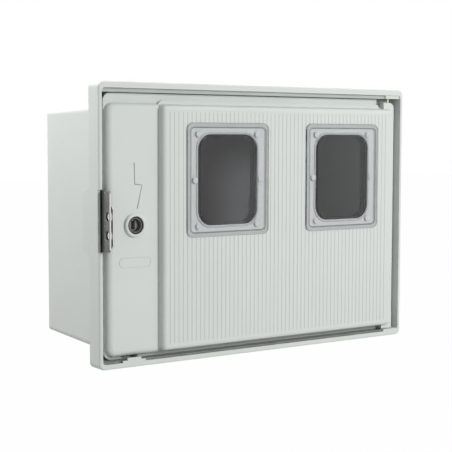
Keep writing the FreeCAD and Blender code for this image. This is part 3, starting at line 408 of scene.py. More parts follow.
def raise_surface(tree, shader, height, depth, normal=None):
    """A bump from a height, over a normal where one is given."""
    bump = add_node(tree, "ShaderNodeBump")
    bump.inputs["Distance"].default_value = depth
    link(tree, height, bump.inputs["Height"])
    if normal:
        link(tree, normal, bump.inputs["Normal"])
    link(tree, bump.outputs["Normal"], shader.inputs["Normal"])


def surface_finish(name, group, values, edge_colour, edge_strength, bump_depth):
    """A finish from one of the two surface groups, with rubbed edges, partly painted highlight, over it."""
    material, tree, shader = new_finish(name)
    surface = place_group(tree, group, values)
    edges = place_group(tree, rubbed_and_highlit_edges, {"Edge Colour": edge_colour, "Strength": edge_strength})
    link(tree, surface.outputs["Colour"], edges.inputs["Colour"])
    link(tree, edges.outputs["Colour"], shader.inputs["Base Color"])
    link(tree, surface.outputs["Roughness"], shader.inputs["Roughness"])
    raise_surface(tree, shader, surface.outputs["Height"], bump_depth, edges.outputs["Normal"])
    return material


def metal_finish(name, values, edge_colour, edge_strength, bump_depth):
    """A finish of worked metal."""
    material = surface_finish(name, worked_metal, values, edge_colour, edge_strength, bump_depth)
    material.node_tree.nodes["Principled BSDF"].inputs["Metallic"].default_value = 1
    return material


print("material helpers ready")

# %% Finishes of the mouldings
moulded_grey = surface_finish(
    "moulded_grey", moulded_finish,
    {"Colour": (0.68, 0.715, 0.685, 1), "Cloud Colour": (0.65, 0.685, 0.655, 1),
     "Rough Low": 0.42, "Rough High": 0.56},
    edge_colour=(0.74, 0.77, 0.75, 1), edge_strength=0.5, bump_depth=0.06 * MM)
board_grey = surface_finish(
    "board_grey", moulded_finish,
    {"Colour": (0.165, 0.168, 0.168, 1), "Cloud Colour": (0.135, 0.138, 0.138, 1), "Cloud Scale": 14.0,
     "Speckle Scale": 700.0, "Peel Scale": 420.0, "Rough Low": 0.55, "Rough High": 0.7},
    edge_colour=(0.3, 0.3, 0.3, 1), edge_strength=0.4, bump_depth=0.05 * MM)
lock_dark = surface_finish(
    "lock_dark", moulded_finish,
    {"Colour": (0.22, 0.217, 0.225, 1), "Cloud Colour": (0.17, 0.168, 0.175, 1), "Cloud Scale": 60.0,
     "Speckle Scale": 1500.0, "Peel Scale": 700.0, "Rough Low": 0.45, "Rough High": 0.65},
    edge_colour=(0.07, 0.07, 0.075, 1), edge_strength=0.6, bump_depth=0.04 * MM)
plug_grey = surface_finish(
    "plug_grey", moulded_finish,
    {"Colour": (0.27, 0.265, 0.275, 1), "Cloud Colour": (0.21, 0.206, 0.215, 1), "Cloud Scale": 60.0,
     "Speckle Scale": 1500.0, "Peel Scale": 700.0, "Rough Low": 0.4, "Rough High": 0.6},
    edge_colour=(0.3, 0.3, 0.31, 1), edge_strength=0.6, bump_depth=0.04 * MM)
mark_grey = surface_finish(
    "mark_grey", moulded_finish,
    {"Colour": (0.36, 0.385, 0.365, 1), "Cloud Colour": (0.3, 0.32, 0.305, 1),
     "Rough Low": 0.42, "Rough High": 0.56},
    edge_colour=(0.5, 0.52, 0.5, 1), edge_strength=0.4, bump_depth=0.03 * MM)
seal_grey = surface_finish(
    "seal_grey", moulded_finish,
    {"Colour": (0.57, 0.58, 0.58, 1), "Cloud Colour": (0.51, 0.52, 0.52, 1), "Cloud Scale": 90.0,
     "Speckle Scale": 1800.0, "Peel Scale": 900.0, "Rough Low": 0.7, "Rough High": 0.85},
    edge_colour=(0.62, 0.62, 0.62, 1), edge_strength=0.3, bump_depth=0.03 * MM)
print("mouldings:", moulded_grey.name, board_grey.name, lock_dark.name, plug_grey.name, mark_grey.name,
      seal_grey.name)

# %% Finishes of the metals
zinc_plate = metal_finish(
    "zinc_plate",
    {"Colour": (0.5, 0.5, 0.49, 1), "Cloud Colour": (0.36, 0.36, 0.355, 1),
     "Rough Low": 0.28, "Rough High": 0.46},
    edge_colour=(0.7, 0.7, 0.69, 1), edge_strength=0.7, bump_depth=0.02 * MM)
dull_plate = metal_finish(
    "dull_plate",
    {"Colour": (0.21, 0.215, 0.21, 1), "Cloud Colour": (0.13, 0.132, 0.128, 1),
     "Line Stretch": (500.0, 500.0, 30.0), "Rough Low": 0.3, "Rough High": 0.5},
    edge_colour=(0.6, 0.6, 0.58, 1), edge_strength=0.9, bump_depth=0.03 * MM)
hasp_plate = metal_finish(
    "hasp_plate",
    {"Colour": (0.2, 0.2, 0.2, 1), "Cloud Colour": (0.12, 0.12, 0.118, 1),
     "Line Stretch": (500.0, 500.0, 30.0), "Rough Low": 0.3, "Rough High": 0.5},
    edge_colour=(0.6, 0.6, 0.58, 1), edge_strength=0.9, bump_depth=0.03 * MM)
turned_brass = metal_finish(
    "turned_brass",
    {"Colour": (0.86, 0.74, 0.48, 1), "Cloud Colour": (0.7, 0.56, 0.32, 1),
     "Line Stretch": (60.0, 60.0, 1400.0), "Rough Low": 0.25, "Rough High": 0.42},
    edge_colour=(0.92, 0.82, 0.58, 1), edge_strength=0.6, bump_depth=0.02 * MM)
print("metals:", zinc_plate.name, dull_plate.name, hasp_plate.name, turned_brass.name)

# %% Painted highlight on the edges of the plates, dark face of the lock
EDGE_HIGHLIGHT_COLOUR = (0.7, 0.69, 0.67, 1)
PLATE_FRONT = -223.6 * MM
PLATE_EDGE_FADE = 0.2 * MM
TURNED_FROM_SIDE = (0.9, 0.6)
TURNED_TO_FRONT = (-0.6, -0.9)
LOCK_FACE_COLOUR = (0.022, 0.022, 0.024, 1)


def lay_over(material, colour, share):
    """Mix a colour over a finish where a share from 0 to 1 says so."""
    tree = material.node_tree
    socket = tree.nodes["Principled BSDF"].inputs["Base Color"]
    upper = add_node(tree, "ShaderNodeMix", data_type="RGBA")
    upper.inputs["B"].default_value = colour
    link(tree, socket.links[0].from_socket, upper.inputs["A"])
    link(tree, share, upper.inputs["Factor"])
    link(tree, upper.outputs["Result"], socket)


def part_of(tree, output, axis):
    """One axis of the object's own place or normal."""
    node = add_node(tree, "ShaderNodeSeparateXYZ")
    link(tree, add_node(tree, "ShaderNodeTexCoord").outputs[output], node.inputs["Vector"])
    return node.outputs[axis]


# The pale colour on the plates' edges is a painted highlight.
dull_tree = dull_plate.node_tree
plate_edge_highlight = spread(dull_tree, part_of(dull_tree, "Object", "Y"), PLATE_FRONT + PLATE_EDGE_FADE, PLATE_FRONT)
lay_over(dull_plate, EDGE_HIGHLIGHT_COLOUR, plate_edge_highlight)
hasp_tree = hasp_plate.node_tree
hasp_across = maths(hasp_tree, "ABSOLUTE", part_of(hasp_tree, "Normal", "X"))
lay_over(hasp_plate, EDGE_HIGHLIGHT_COLOUR, spread(hasp_tree, hasp_across, *TURNED_FROM_SIDE))
lock_tree = lock_dark.node_tree
lay_over(lock_dark, LOCK_FACE_COLOUR, spread(lock_tree, part_of(lock_tree, "Normal", "Y"), *TURNED_TO_FRONT))
print("edges and faces:", dull_plate.name, hasp_plate.name, lock_dark.name)

# %% [markdown]
# ## Painted shade in the gaps and grooves
# The gap below the door, the gap above it and the fine grooves of the ribbed panel lie in shade and look
# darker than the faces round them. Harder lamps could give that shade, but they would spoil the soft light on
# the panels. So the shade is painted on the moulding by place, as a darker tone: a gap is a block with soft
# sides, faces that look down are left out, and a groove is known by its slanted walls. It is painted shade in
# the finish, not a cast shadow, so it stays when the door opens.

# %% Painted shade in the gaps round the door and in the grooves
GUTTER_PAINTED_SHADE = (0.21, 0.223, 0.21, 1)
TOP_GAP_PAINTED_SHADE = (0.46, 0.487, 0.46, 1)
GROOVE_PAINTED_SHADE = (0.56, 0.593, 0.56, 1)
GAP_ACROSS_MM = {"X": ((-260, -259), (231, 229)), "Y": ((-203.6, -202.2), (-187, -194))}
GUTTER_MM = {**GAP_ACROSS_MM, "Z": ((-180, -179), (-169, -170.5))}
TOP_GAP_MM = {**GAP_ACROSS_MM, "Z": ((180.2, 180.8), (186.8, 186.2))}
GROOVES_MM = {"X": ((-163, -162), (233, 232)), "Y": ((-210.3, -210.5),)}
SHADE_PATCH_SCALE = 40.0
THINNEST_SHADE = 0.85
TURNED_FROM_BELOW = (-0.6, -0.3)
SLANTED = (0.35, 0.5)

moulded_tree = moulded_grey.node_tree


def lay_painted_shade(colour, share, edges_mm):
    """Painted shade on the moulding inside a block, with an unshaded and a shaded end for each of its sides.
    """
    for axis, sides in edges_mm.items():
        for unshaded_end, shaded_end in sides:
            inside = spread(moulded_tree, part_of(moulded_tree, "Object", axis), unshaded_end * MM, shaded_end * MM)
            share = maths(moulded_tree, "MULTIPLY", share, inside)
    lay_over(moulded_grey, colour, share)


shade_noise = noise(moulded_tree, own_place(moulded_tree), SHADE_PATCH_SCALE, detail=3.0)
patches = spread(moulded_tree, shade_noise, *WIDE_NOISE, THINNEST_SHADE, 1.0)
not_below = spread(moulded_tree, part_of(moulded_tree, "Normal", "Z"), *TURNED_FROM_BELOW)
shaded_share = maths(moulded_tree, "MULTIPLY", patches, not_below)
# Painted shade in the gutter below the door, in the gap above it and in the grooves.
lay_painted_shade(GUTTER_PAINTED_SHADE, shaded_share, GUTTER_MM)
lay_painted_shade(TOP_GAP_PAINTED_SHADE, shaded_share, TOP_GAP_MM)
slant = maths(moulded_tree, "ABSOLUTE", part_of(moulded_tree, "Normal", "X"))
lay_painted_shade(GROOVE_PAINTED_SHADE, spread(moulded_tree, slant, *SLANTED), GROOVES_MM)
print("dust laid on", moulded_grey.name)

# %% [markdown]
# ## The foam
# The door's seal is black foam rubber, a mass of small open cells. A Voronoi texture has such cells, and
# one of them can serve for colour, roughness and bump together: the middle of a cell is deep and dull, and
# darker, a painted shade in the pore.

# %% Finish of the foam
FOAM_CELL_SCALE = 1400
FOAM_PORE_SHADE = (0.012, 0.012, 0.013, 1)
FOAM_SKIN = (0.05, 0.05, 0.052, 1)
FOAM_CELL_EDGE = 0.6
FOAM_ROUGHNESS = (0.95, 0.75)
FOAM_CELL_DEPTH = 0.25 * MM


def ramp(tree, value, low_colour, high_colour, low_end=0.0, high_end=1.0):
    """A colour that runs from one to another as a value rises."""
    node = add_node(tree, "ShaderNodeValToRGB")
    low, high = node.color_ramp.elements
    low.color = low_colour
    low.position = low_end
    high.color = high_colour
    high.position = high_end
    link(tree, value, node.inputs["Fac"])
    return node.outputs["Color"]


foam_black, foam_tree, foam_shader = new_finish("foam_black")
foam_cells = add_node(foam_tree, "ShaderNodeTexVoronoi")
foam_cells.inputs["Scale"].default_value = FOAM_CELL_SCALE
link(foam_tree, own_place(foam_tree), foam_cells.inputs["Vector"])
from_cell = foam_cells.outputs["Distance"]
# Darker in the middle of each cell: painted shade in the pore.
link(foam_tree, ramp(foam_tree, from_cell, FOAM_PORE_SHADE, FOAM_SKIN), foam_shader.inputs["Base Color"])
foam_roughness = spread(foam_tree, from_cell, 0.0, FOAM_CELL_EDGE, *FOAM_ROUGHNESS)
link(foam_tree, foam_roughness, foam_shader.inputs["Roughness"])
raise_surface(foam_tree, foam_shader, from_cell, FOAM_CELL_DEPTH)
print("foam:", foam_black.name)

# %% [markdown]
# ## The windows
# A window is a plate of clear polycarbonate with a bead round it. Such a plate looks darker where it is
# steep, on the bead, and along the bead's inner foot, where it bends the light away. Many bounces in the
# plastic could show that, but slowly and with grain, so that shade is painted into the tint there: the
# steep faces, the bead and a line along its inner foot get a painted shade. The foot is a rounded
# rectangle, and the distance from it is worked out from the window's box. Folding the place about the
# middle between the windows serves both with one sum. Light that only passes through, as in a shadow, takes
# a plain see-through shader, so that the inside is lit.

# %% Where the bead of a window starts
BEAD_WIDTH = 5.5 * MM
BEAD_CORNER = 6.25 * MM
left_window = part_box("window_left")
right_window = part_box("window_right")


def away_from(tree, value, start):
    """How far a value lies from a start, to either side."""
    return maths(tree, "ABSOLUTE", maths(tree, "SUBTRACT", value, start))


def past(tree, value, start, reach):
    """How much further than a reach a value lies from a start, and 0 within that reach."""
    return maths(tree, "MAXIMUM", maths(tree, "SUBTRACT", away_from(tree, value, start), reach), 0.0)


def from_bead(tree):
    """How far a point lies outside the inner foot of the bead, on either window."""
    half = (left_window[1] - left_window[0]) / 2
    straight = BEAD_WIDTH + BEAD_CORNER
    spacing = right_window[0].x - left_window[0].x
    between = (left_window[0].x + right_window[1].x) / 2
    centre_z = (left_window[0].z + left_window[1].z) / 2
    folded = away_from(tree, part_of(tree, "Object", "X"), between)
    beside = past(tree, folded, spacing / 2, half.x - straight)
    above = past(tree, part_of(tree, "Object", "Z"), centre_z, half.z - straight)
    squares = weighted(tree, (beside, beside), (above, above))
    return maths(tree, "SUBTRACT", maths(tree, "SQRT", squares), BEAD_CORNER)


print("window middles are", round((right_window[0].x - left_window[0].x) / MM, 1), "mm apart")

# %% Finish of the windows
WINDOW_REFRACTION = 1.4
WINDOW_GLOSS = 0.2
WINDOW_ROUGHNESS = (0.06, 0.14)
HAZE_SCALE = 60.0
HAZY_TINT = (0.9, 0.898, 0.91, 1)
CLEAR_TINT = (0.95, 0.948, 0.96, 1)
STEEP_PAINTED_SHADE = (0.3, 0.305, 0.32, 1)
STEEP_END = 0.35
FLAT_END = 0.95
SHADOW_TINT = (0.925, 0.928, 0.94, 1)
BEAD_FOOT = -213.1 * MM
BEAD_FADE = 0.4 * MM
BEAD_PAINTED_SHADE = 0.7
FOOT_LINE_PAINTED_SHADE = 0.45
LINE_INSET = 0.7 * MM
LINE_CORE = 0.5 * MM
LINE_REACH = 1.3 * MM
RIPPLE_SCALE = 35.0
RIPPLE_DEPTH = 0.05 * MM

clear_window, window_tree, window_shader = new_finish("clear_window")
window_place = own_place(window_tree)
haze = noise(window_tree, window_place, HAZE_SCALE, detail=4.0)
stand = part_of(window_tree, "Object", "Y")
# Painted shade: the bead and a line along its inner foot are darker, and so is every steep face.
bead_shade = spread(window_tree, stand, BEAD_FOOT, BEAD_FOOT - BEAD_FADE, 1.0, BEAD_PAINTED_SHADE)
foot_off = maths(window_tree, "ABSOLUTE", maths(window_tree, "ADD", from_bead(window_tree), LINE_INSET))
foot_line_shade = spread(window_tree, foot_off, LINE_CORE, LINE_REACH, FOOT_LINE_PAINTED_SHADE, 1.0)
either_shade = maths(window_tree, "MINIMUM", bead_shade, foot_line_shade)
facing_front = maths(window_tree, "ABSOLUTE", part_of(window_tree, "Normal", "Y"))
unshaded_share = maths(window_tree, "MULTIPLY", facing_front, either_shade)
tint_and_painted_shade = add_node(window_tree, "ShaderNodeMix", data_type="RGBA", blend_type="MULTIPLY")
tint_and_painted_shade.inputs["Factor"].default_value = 1
link(window_tree, ramp(window_tree, haze, HAZY_TINT, CLEAR_TINT), tint_and_painted_shade.inputs["A"])
painted_edge_shade = ramp(window_tree, unshaded_share, STEEP_PAINTED_SHADE, WHITE, STEEP_END, FLAT_END)
link(window_tree, painted_edge_shade, tint_and_painted_shade.inputs["B"])
link(window_tree, tint_and_painted_shade.outputs["Result"], window_shader.inputs["Base Color"])
window_roughness = spread(window_tree, haze, *WIDE_NOISE, *WINDOW_ROUGHNESS)
link(window_tree, window_roughness, window_shader.inputs["Roughness"])
window_shader.inputs["Specular IOR Level"].default_value = WINDOW_GLOSS
window_shader.inputs["IOR"].default_value = WINDOW_REFRACTION
window_shader.inputs["Transmission Weight"].default_value = 1
raise_surface(window_tree, window_shader, noise(window_tree, window_place, RIPPLE_SCALE), RIPPLE_DEPTH)
print("windows:", clear_window.name)

# %% Light through the windows
window_pass = add_node(window_tree, "ShaderNodeBsdfTransparent")
window_pass.inputs["Color"].default_value = SHADOW_TINT
window_path = add_node(window_tree, "ShaderNodeLightPath").outputs
scattered = maths(window_tree, "GREATER_THAN", window_path["Diffuse Depth"], FIRST_BOUNCE)
light_passes = maths(window_tree, "MAXIMUM", window_path["Is Shadow Ray"], scattered)
choose_shader(window_tree, light_passes, window_shader.outputs["BSDF"], window_pass.outputs["BSDF"],
              "Material Output")
print("light passes", clear_window.name)

# %% Finish of the peg marks, pale as a painted highlight
PEG_MARK_NOISE_SCALE = 700.0
PEG_MARK_DARK = (0.44, 0.45, 0.46, 1)
PEG_MARK_PALE_HIGHLIGHT = (0.66, 0.67, 0.68, 1)
PEG_MARK_ROUGHNESS = (0.35, 0.6)

# The pale finish of the peg marks is a painted highlight.
peg_mark_highlight, peg_mark_tree, peg_mark_shader = new_finish("peg_mark_highlight")
peg_mark_noise = noise(peg_mark_tree, own_place(peg_mark_tree), PEG_MARK_NOISE_SCALE, detail=3.0)
link(peg_mark_tree, ramp(peg_mark_tree, peg_mark_noise, PEG_MARK_DARK, PEG_MARK_PALE_HIGHLIGHT), peg_mark_shader.inputs["Base Color"])
peg_mark_roughness = spread(peg_mark_tree, peg_mark_noise, *WIDE_NOISE, *PEG_MARK_ROUGHNESS)
link(peg_mark_tree, peg_mark_roughness, peg_mark_shader.inputs["Roughness"])
print("marks:", peg_mark_highlight.name)

# %% [markdown]
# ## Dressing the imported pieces
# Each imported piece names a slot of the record, and the slot says which finish it gets. The two padlock
# plates and the plug of the lock look different from the rest of their slot, so they get a finish by their
# own name.

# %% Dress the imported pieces
FINISH_OF_SLOT = {
    "moulded_grey": moulded_grey,
    "seal_rubber": foam_black,
    "seal_grey": seal_grey,
    "board_plastic": board_grey,
    "brass": turned_brass,
    "zinc_steel": zinc_plate,
    "clear_window": clear_window,
    "lock_plastic": lock_dark,
}
FINISH_OF_NODE = {"padlock_plate": dull_plate, "door_hasp_plate": hasp_plate, "lock_plug": plug_grey}
slot_of_node = {part["node"]: part["material_slot"] for part in frame["record"]["subparts"]}
for node_name, node in nodes.items():
    node.data.materials.clear()
    node.data.materials.append(FINISH_OF_NODE.get(node_name, FINISH_OF_SLOT[slot_of_node[node_name]]))
print("dressed:", len(nodes), "nodes")

# %% [markdown]
# ## Small pieces, modelled by hand
# The construction leaves out what only the eye needs: moulded signs, pressed dimples, the crosses in the
# screws, the teeth of the push nuts. Each of them starts as a primitive and is shaped in edit mode. These
# helpers pick faces, edges or points by their place, and bring a finished piece to rest at the origin with
# its place in its mesh.

# %% Helpers for modelling
HAIR = 0.01 * MM
FACING = 0.9
MERGE_DISTANCE = 0.001 * MM
UPRIGHT = (math.radians(90), 0, 0)


def deselect():
    bpy.ops.object.select_all(action="DESELECT")


def use_only(piece):
    """Select one piece alone and make it the active one."""
    deselect()
    piece.select_set(True)
    bpy.context.view_layer.objects.active = piece


def name_new(name):
    """Name the primitive that was just added, and put its place and turn into its mesh."""
    piece = bpy.context.object
    piece.name = name
    piece.data.name = name
    bpy.ops.object.transform_apply(location=True, rotation=True, scale=True)
    return piece


def edit_all():
    """Enter edit mode on the active piece with all of it selected."""
    bpy.ops.object.mode_set(mode="EDIT")
    bpy.ops.mesh.select_all(action="SELECT")


def leave():
    bpy.ops.object.mode_set(mode="OBJECT")


def pick(piece, kind, wanted):
    """Enter edit mode with the faces, edges or points selected whose middle passes a test."""
    use_only(piece)
    bpy.ops.object.mode_set(mode="EDIT")
    bpy.ops.mesh.select_mode(type=kind)
    bpy.ops.mesh.select_all(action="DESELECT")
    leave()
    mesh = piece.data
    if kind == "FACE":
        for face in mesh.polygons:
            face.select = wanted(face.center, face.normal)
    elif kind == "EDGE":
        for edge in mesh.edges:
            first, second = (mesh.vertices[number].co for number in edge.vertices)
            edge.select = wanted((first + second) / 2, (second - first).normalized())
    else:
        for point in mesh.vertices:
            point.select = wanted(point.co, point.normal)
    bpy.ops.object.mode_set(mode="EDIT")


def shift(x=0.0, y=0.0, z=0.0):
    bpy.ops.transform.translate(value=(x, y, z))


def extrude(x=0.0, y=0.0, z=0.0):
    bpy.ops.mesh.extrude_region_move(TRANSFORM_OT_translate={"value": (x, y, z)})


def remove(piece):
    use_only(piece)
    bpy.ops.object.delete()


def cut_away(piece, cutter):
    """Cut the shape of a cutter out of a piece, and remove the cutter."""
    use_only(piece)
    cut = piece.modifiers.new("cut", "BOOLEAN")
    cut.object = cutter
    cut.operation = "DIFFERENCE"
    cut.solver = "EXACT"
    bpy.ops.object.modifier_apply(modifier=cut.name)
    remove(cutter)


def copy_piece(piece, name, step):
    """A copy with its own mesh, moved by a step."""
    use_only(piece)
    bpy.ops.object.duplicate(linked=False)
    twin = bpy.context.object
    twin.name = name
    twin.data.name = name
    shift(*step)
    bpy.ops.object.transform_apply(location=True, rotation=True, scale=True)
    return twin


def join_pieces(name, pieces):
    """Several modelled copies as one object."""
    deselect()
    for piece in pieces:
        piece.select_set(True)
    bpy.context.view_layer.objects.active = pieces[0]
    bpy.ops.object.join()
    joined = bpy.context.object
    joined.name = name
    joined.data.name = name
    return joined


def finish_piece(piece, material, body, smooth_deg=35):
    """Even normals, smooth rounds, a finish and a body to ride on."""
    use_only(piece)
    edit_all()
    bpy.ops.mesh.remove_doubles(threshold=MERGE_DISTANCE)
    bpy.ops.mesh.normals_make_consistent(inside=False)
    leave()
    bpy.ops.object.shade_smooth_by_angle(angle=math.radians(smooth_deg))
    piece.data.materials.clear()
    piece.data.materials.append(material)
    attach(piece, body)
    print(piece.name, "rides on", body, "with", len(piece.data.polygons), "faces")


print("modelling helpers ready")

# %% [markdown]
# ## The warning flash
# An open zigzag line is moulded on the smooth panel above the lock: the common sign for live parts inside.
# It could be drawn in the material, but it stands proud and catches light. A plane is merged to one point,
# the point is extruded along the zigzag, and the line gets a round section that is pressed flat.

# %% Flash on the smooth panel
PANEL_FACE = -200.0 * MM
FLASH_CORNERS = ((-209.3, 88.6), (-208.5, 60.2), (-197.4, 58.6), (-204.8, 27.6))
FLASH_HALF_WIDTH = 0.75 * MM
FLASH_RISE = 0.4 * MM

deselect()
start_x, start_z = FLASH_CORNERS[0]
bpy.ops.mesh.primitive_plane_add(size=MM, location=(start_x * MM, PANEL_FACE, start_z * MM))
name_new("flash_sign")
edit_all()
bpy.ops.mesh.merge(type="CENTER")
for (x, z), (next_x, next_z) in zip(FLASH_CORNERS, FLASH_CORNERS[1:]):
    extrude(x=(next_x - x) * MM, z=(next_z - z) * MM)
leave()
bpy.ops.object.convert(target="CURVE")
flash_line = bpy.context.object.data
flash_line.bevel_depth = FLASH_HALF_WIDTH
flash_line.bevel_resolution = 3
flash_line.use_fill_caps = True
bpy.ops.object.convert(target="MESH")
flash = bpy.context.object
edit_all()
bpy.ops.transform.resize(value=(1, FLASH_RISE / FLASH_HALF_WIDTH, 1), center_override=(0, PANEL_FACE, 0))
leave()
finish_piece(flash, mark_grey, "door", smooth_deg=60)

# %% [markdown]
# ## The bare oval
# Below the lock the mould has a place for a name: a long oval with a raised rim, left bare here. A cylinder
# is pulled apart into the long shape, and its front face is inset and pressed back, so that the rim stays.

# %% Bare oval on the smooth panel
OVAL_MIDDLE = (-207.9, -43.8)
OVAL_WIDTH = 49.3 * MM
OVAL_HEIGHT = 14.0 * MM
OVAL_RISE = 0.5 * MM
OVAL_SUNK = 0.5 * MM
OVAL_RIM = 1.1 * MM
OVAL_FIELD_DROP = 0.35 * MM
OVAL_EDGE = 0.18 * MM

oval_x, oval_z = (side * MM for side in OVAL_MIDDLE)
deselect()
bpy.ops.mesh.primitive_cylinder_add(
    vertices=64, radius=OVAL_HEIGHT / 2, depth=OVAL_RISE + OVAL_SUNK, rotation=UPRIGHT,
    location=(oval_x, PANEL_FACE + (OVAL_SUNK - OVAL_RISE) / 2, oval_z))
oval = name_new("name_oval")
for side in (-1, 1):
    pick(oval, "VERT", lambda place, _: (place.x - oval_x) * side > HAIR)
    shift(x=side * (OVAL_WIDTH - OVAL_HEIGHT) / 2)
    leave()
oval_front = PANEL_FACE - OVAL_RISE
pick(oval, "FACE", lambda _, normal: normal.y < -FACING)
bpy.ops.mesh.inset(thickness=OVAL_RIM, depth=0)
extrude(y=OVAL_FIELD_DROP)
leave()
pick(oval, "EDGE", lambda place, _: abs(place.y - oval_front) < HAIR)
bpy.ops.mesh.bevel(offset=OVAL_EDGE, segments=2)
leave()
finish_piece(oval, moulded_grey, "door")

# %% [markdown]
# ## Dimples of the padlock plate
# The fixed plate was spot welded, and three round dimples show on its outer face. Each is a sphere pressed
# flat and cut off at the plate, so that only its shallow cap stands on the metal.

# %% Helper: a low dome
DOME_ROOT = 0.1 * MM


def low_dome(name, place, radius, rise, outward):
    """A shallow cap on a face: a sphere pressed flat along the face's normal and cut just below the face."""
    deselect()
    bpy.ops.mesh.primitive_uv_sphere_add(segments=24, ring_count=16, radius=radius, location=place)
    dome = name_new(name)
    edit_all()
    flat_scale = [rise / radius if side else 1 for side in outward]
    bpy.ops.transform.resize(value=flat_scale, center_override=place)
    bpy.ops.mesh.bisect(plane_co=Vector(place) - DOME_ROOT * Vector(outward), plane_no=outward, use_fill=True,
                        clear_inner=True)
    leave()
    return dome


print("dome helper ready")

# %% Dimples
DIMPLE_PLACES = ((-210.8, 48.9), (-210.4, 6.5), (-210.9, -17.9))
DIMPLE_RADIUS = 1.5 * MM
DIMPLE_RISE = 0.45 * MM

plate_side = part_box("padlock_plate")[0].x
dimples = []
for number, (y, z) in enumerate(DIMPLE_PLACES):
    place = (plate_side, y * MM, z * MM)
    dimples.append(low_dome("dimple_%d" % number, place, DIMPLE_RADIUS, DIMPLE_RISE, (-1, 0, 0)))
finish_piece(join_pieces("plate_dimples", dimples), dull_plate, "enclosure", smooth_deg=60)

# %% [markdown]
# ## Peg marks on the windows
# Each window has six pegs behind its plate, and a low round mark shows on the front over each. The same
# low dome serves here. Its pale, rough finish is a painted highlight, standing in for the glint on a clear
# dome.

# %% Peg marks
PEGS_OF_ONE_SIDE = ((49.25, -62.5), (54.8, 0.0), (49.25, 62.5))
PEG_MARK_RADIUS = 4.2 * MM
PEG_MARK_RISE = 0.3 * MM
WINDOW_FRONT = -213.0 * MM

peg_places = []
for low, high in (left_window, right_window):
    middle = (low + high) / 2
    for side in (-1, 1):
        peg_places += [(middle.x + side * x * MM, middle.z + z * MM) for x, z in PEGS_OF_ONE_SIDE]
peg_marks = []
for number, (x, z) in enumerate(peg_places):
    place = (x, WINDOW_FRONT, z)
    peg_marks.append(low_dome("peg_mark_%d" % number, place, PEG_MARK_RADIUS, PEG_MARK_RISE, (0, -1, 0)))
finish_piece(join_pieces("peg_marks", peg_marks), peg_mark_highlight, "door", smooth_deg=60)

# %% [markdown]
# ## Screws with a cross recess
# The board, the padlock plate and the cam are held by small pan-head screws. In the construction these are
# plain steps, so each is modelled here once: a cylinder with its front edge rounded over, its back face
# inset and extruded into the shank, and a cross cut by two crossed bars.

# %% Helper: one screw
RECESS_SHARE = 0.62
RECESS_WIDTH_SHARE = 0.2
RECESS_DEPTH_SHARE = 0.55
HEAD_ROUND_SHARE = 0.7
POINT_SHARE = 0.1
POINT_TAPER = 0.7
FIRST_TURN_DEG = 17
NEXT_TURN_DEG = 61


def cut_cross(screw, head_radius, head_height):
    """Two crossed bars cut out of the head."""
    for turn in (0, 90):
        deselect()
        bpy.ops.mesh.primitive_cube_add(
            size=1, location=(0, -head_height, 0), rotation=(0, math.radians(turn), 0),
            scale=(2 * RECESS_SHARE * head_radius, 2 * RECESS_DEPTH_SHARE * head_height,
                   2 * RECESS_WIDTH_SHARE * head_radius))
        cut_away(screw, name_new("recess_bar"))


def model_fixing(name, head_radius, head_height, shank_radius, shank_length, crossed):
    """A screw or a rivet along Y, with its seat at the origin and its head towards the front."""
    deselect()
    bpy.ops.mesh.primitive_cylinder_add(vertices=40, radius=head_radius, depth=head_height, rotation=UPRIGHT,
                                        location=(0, -head_height / 2, 0))
    screw = name_new(name)
    pick(screw, "EDGE", lambda place, _: place.y < HAIR - head_height)
    bpy.ops.mesh.bevel(offset=HEAD_ROUND_SHARE * head_height, segments=5)
    leave()
    pick(screw, "FACE", lambda _, normal: normal.y > FACING)
    bpy.ops.mesh.inset(thickness=head_radius - shank_radius, depth=0)
    extrude(y=(1 - POINT_SHARE) * shank_length)
    extrude(y=POINT_SHARE * shank_length)
    bpy.ops.transform.resize(value=(POINT_TAPER, 1, POINT_TAPER), center_override=(0, shank_length, 0))
    leave()
    if crossed:
        cut_cross(screw, head_radius, head_height)
    return screw


def fixing_set(name, node, head_radius, head_height, shank_radius, places, backwards=False, crossed=True):
    """One piece in a node's stead: its fixings at their places, each turned a little differently."""
    low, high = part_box(node)
    shank_length = high.y - low.y - head_height
    seat = high.y - head_height if backwards else low.y + head_height
    pattern = model_fixing(name + "_pattern", head_radius, head_height, shank_radius, shank_length, crossed)
    screws = []
    for number, (x, z) in enumerate(places):
        screw = copy_piece(pattern, "%s_%d" % (name, number), (0, 0, 0))
        turn = math.radians(FIRST_TURN_DEG + NEXT_TURN_DEG * number)
        bpy.ops.transform.rotate(value=turn, orient_axis="Y", center_override=(0, 0, 0))
        if backwards:
            bpy.ops.transform.rotate(value=math.pi, orient_axis="Z", center_override=(0, 0, 0))
        shift(x, seat, z)
        bpy.ops.object.transform_apply(location=True, rotation=True, scale=True)
        screws.append(screw)
    remove(pattern)
    fixings = join_pieces(name, screws)
    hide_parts(node)
    return fixings


print("screw helper ready")

# %% Screws of the board, the plate and the cam
BOARD_HEAD_RADIUS = 5.0 * MM
BOARD_HEAD = 2.0 * MM
PLATE_HEAD_RADIUS = 3.2 * MM
PLATE_HEAD = 1.2 * MM
CAM_HEAD_RADIUS = 4.5 * MM
CAM_HEAD = 3.0 * MM
SMALL_SHANK_RADIUS = 2.0 * MM
CAM_SHANK_RADIUS = 2.5 * MM


def upright_pair(node):
    """The places of two small fixings, one above the other, in the box of their node."""
    low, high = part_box(node)
    middle_x = (low.x + high.x) / 2
    return [(middle_x, low.z + PLATE_HEAD_RADIUS), (middle_x, high.z - PLATE_HEAD_RADIUS)]


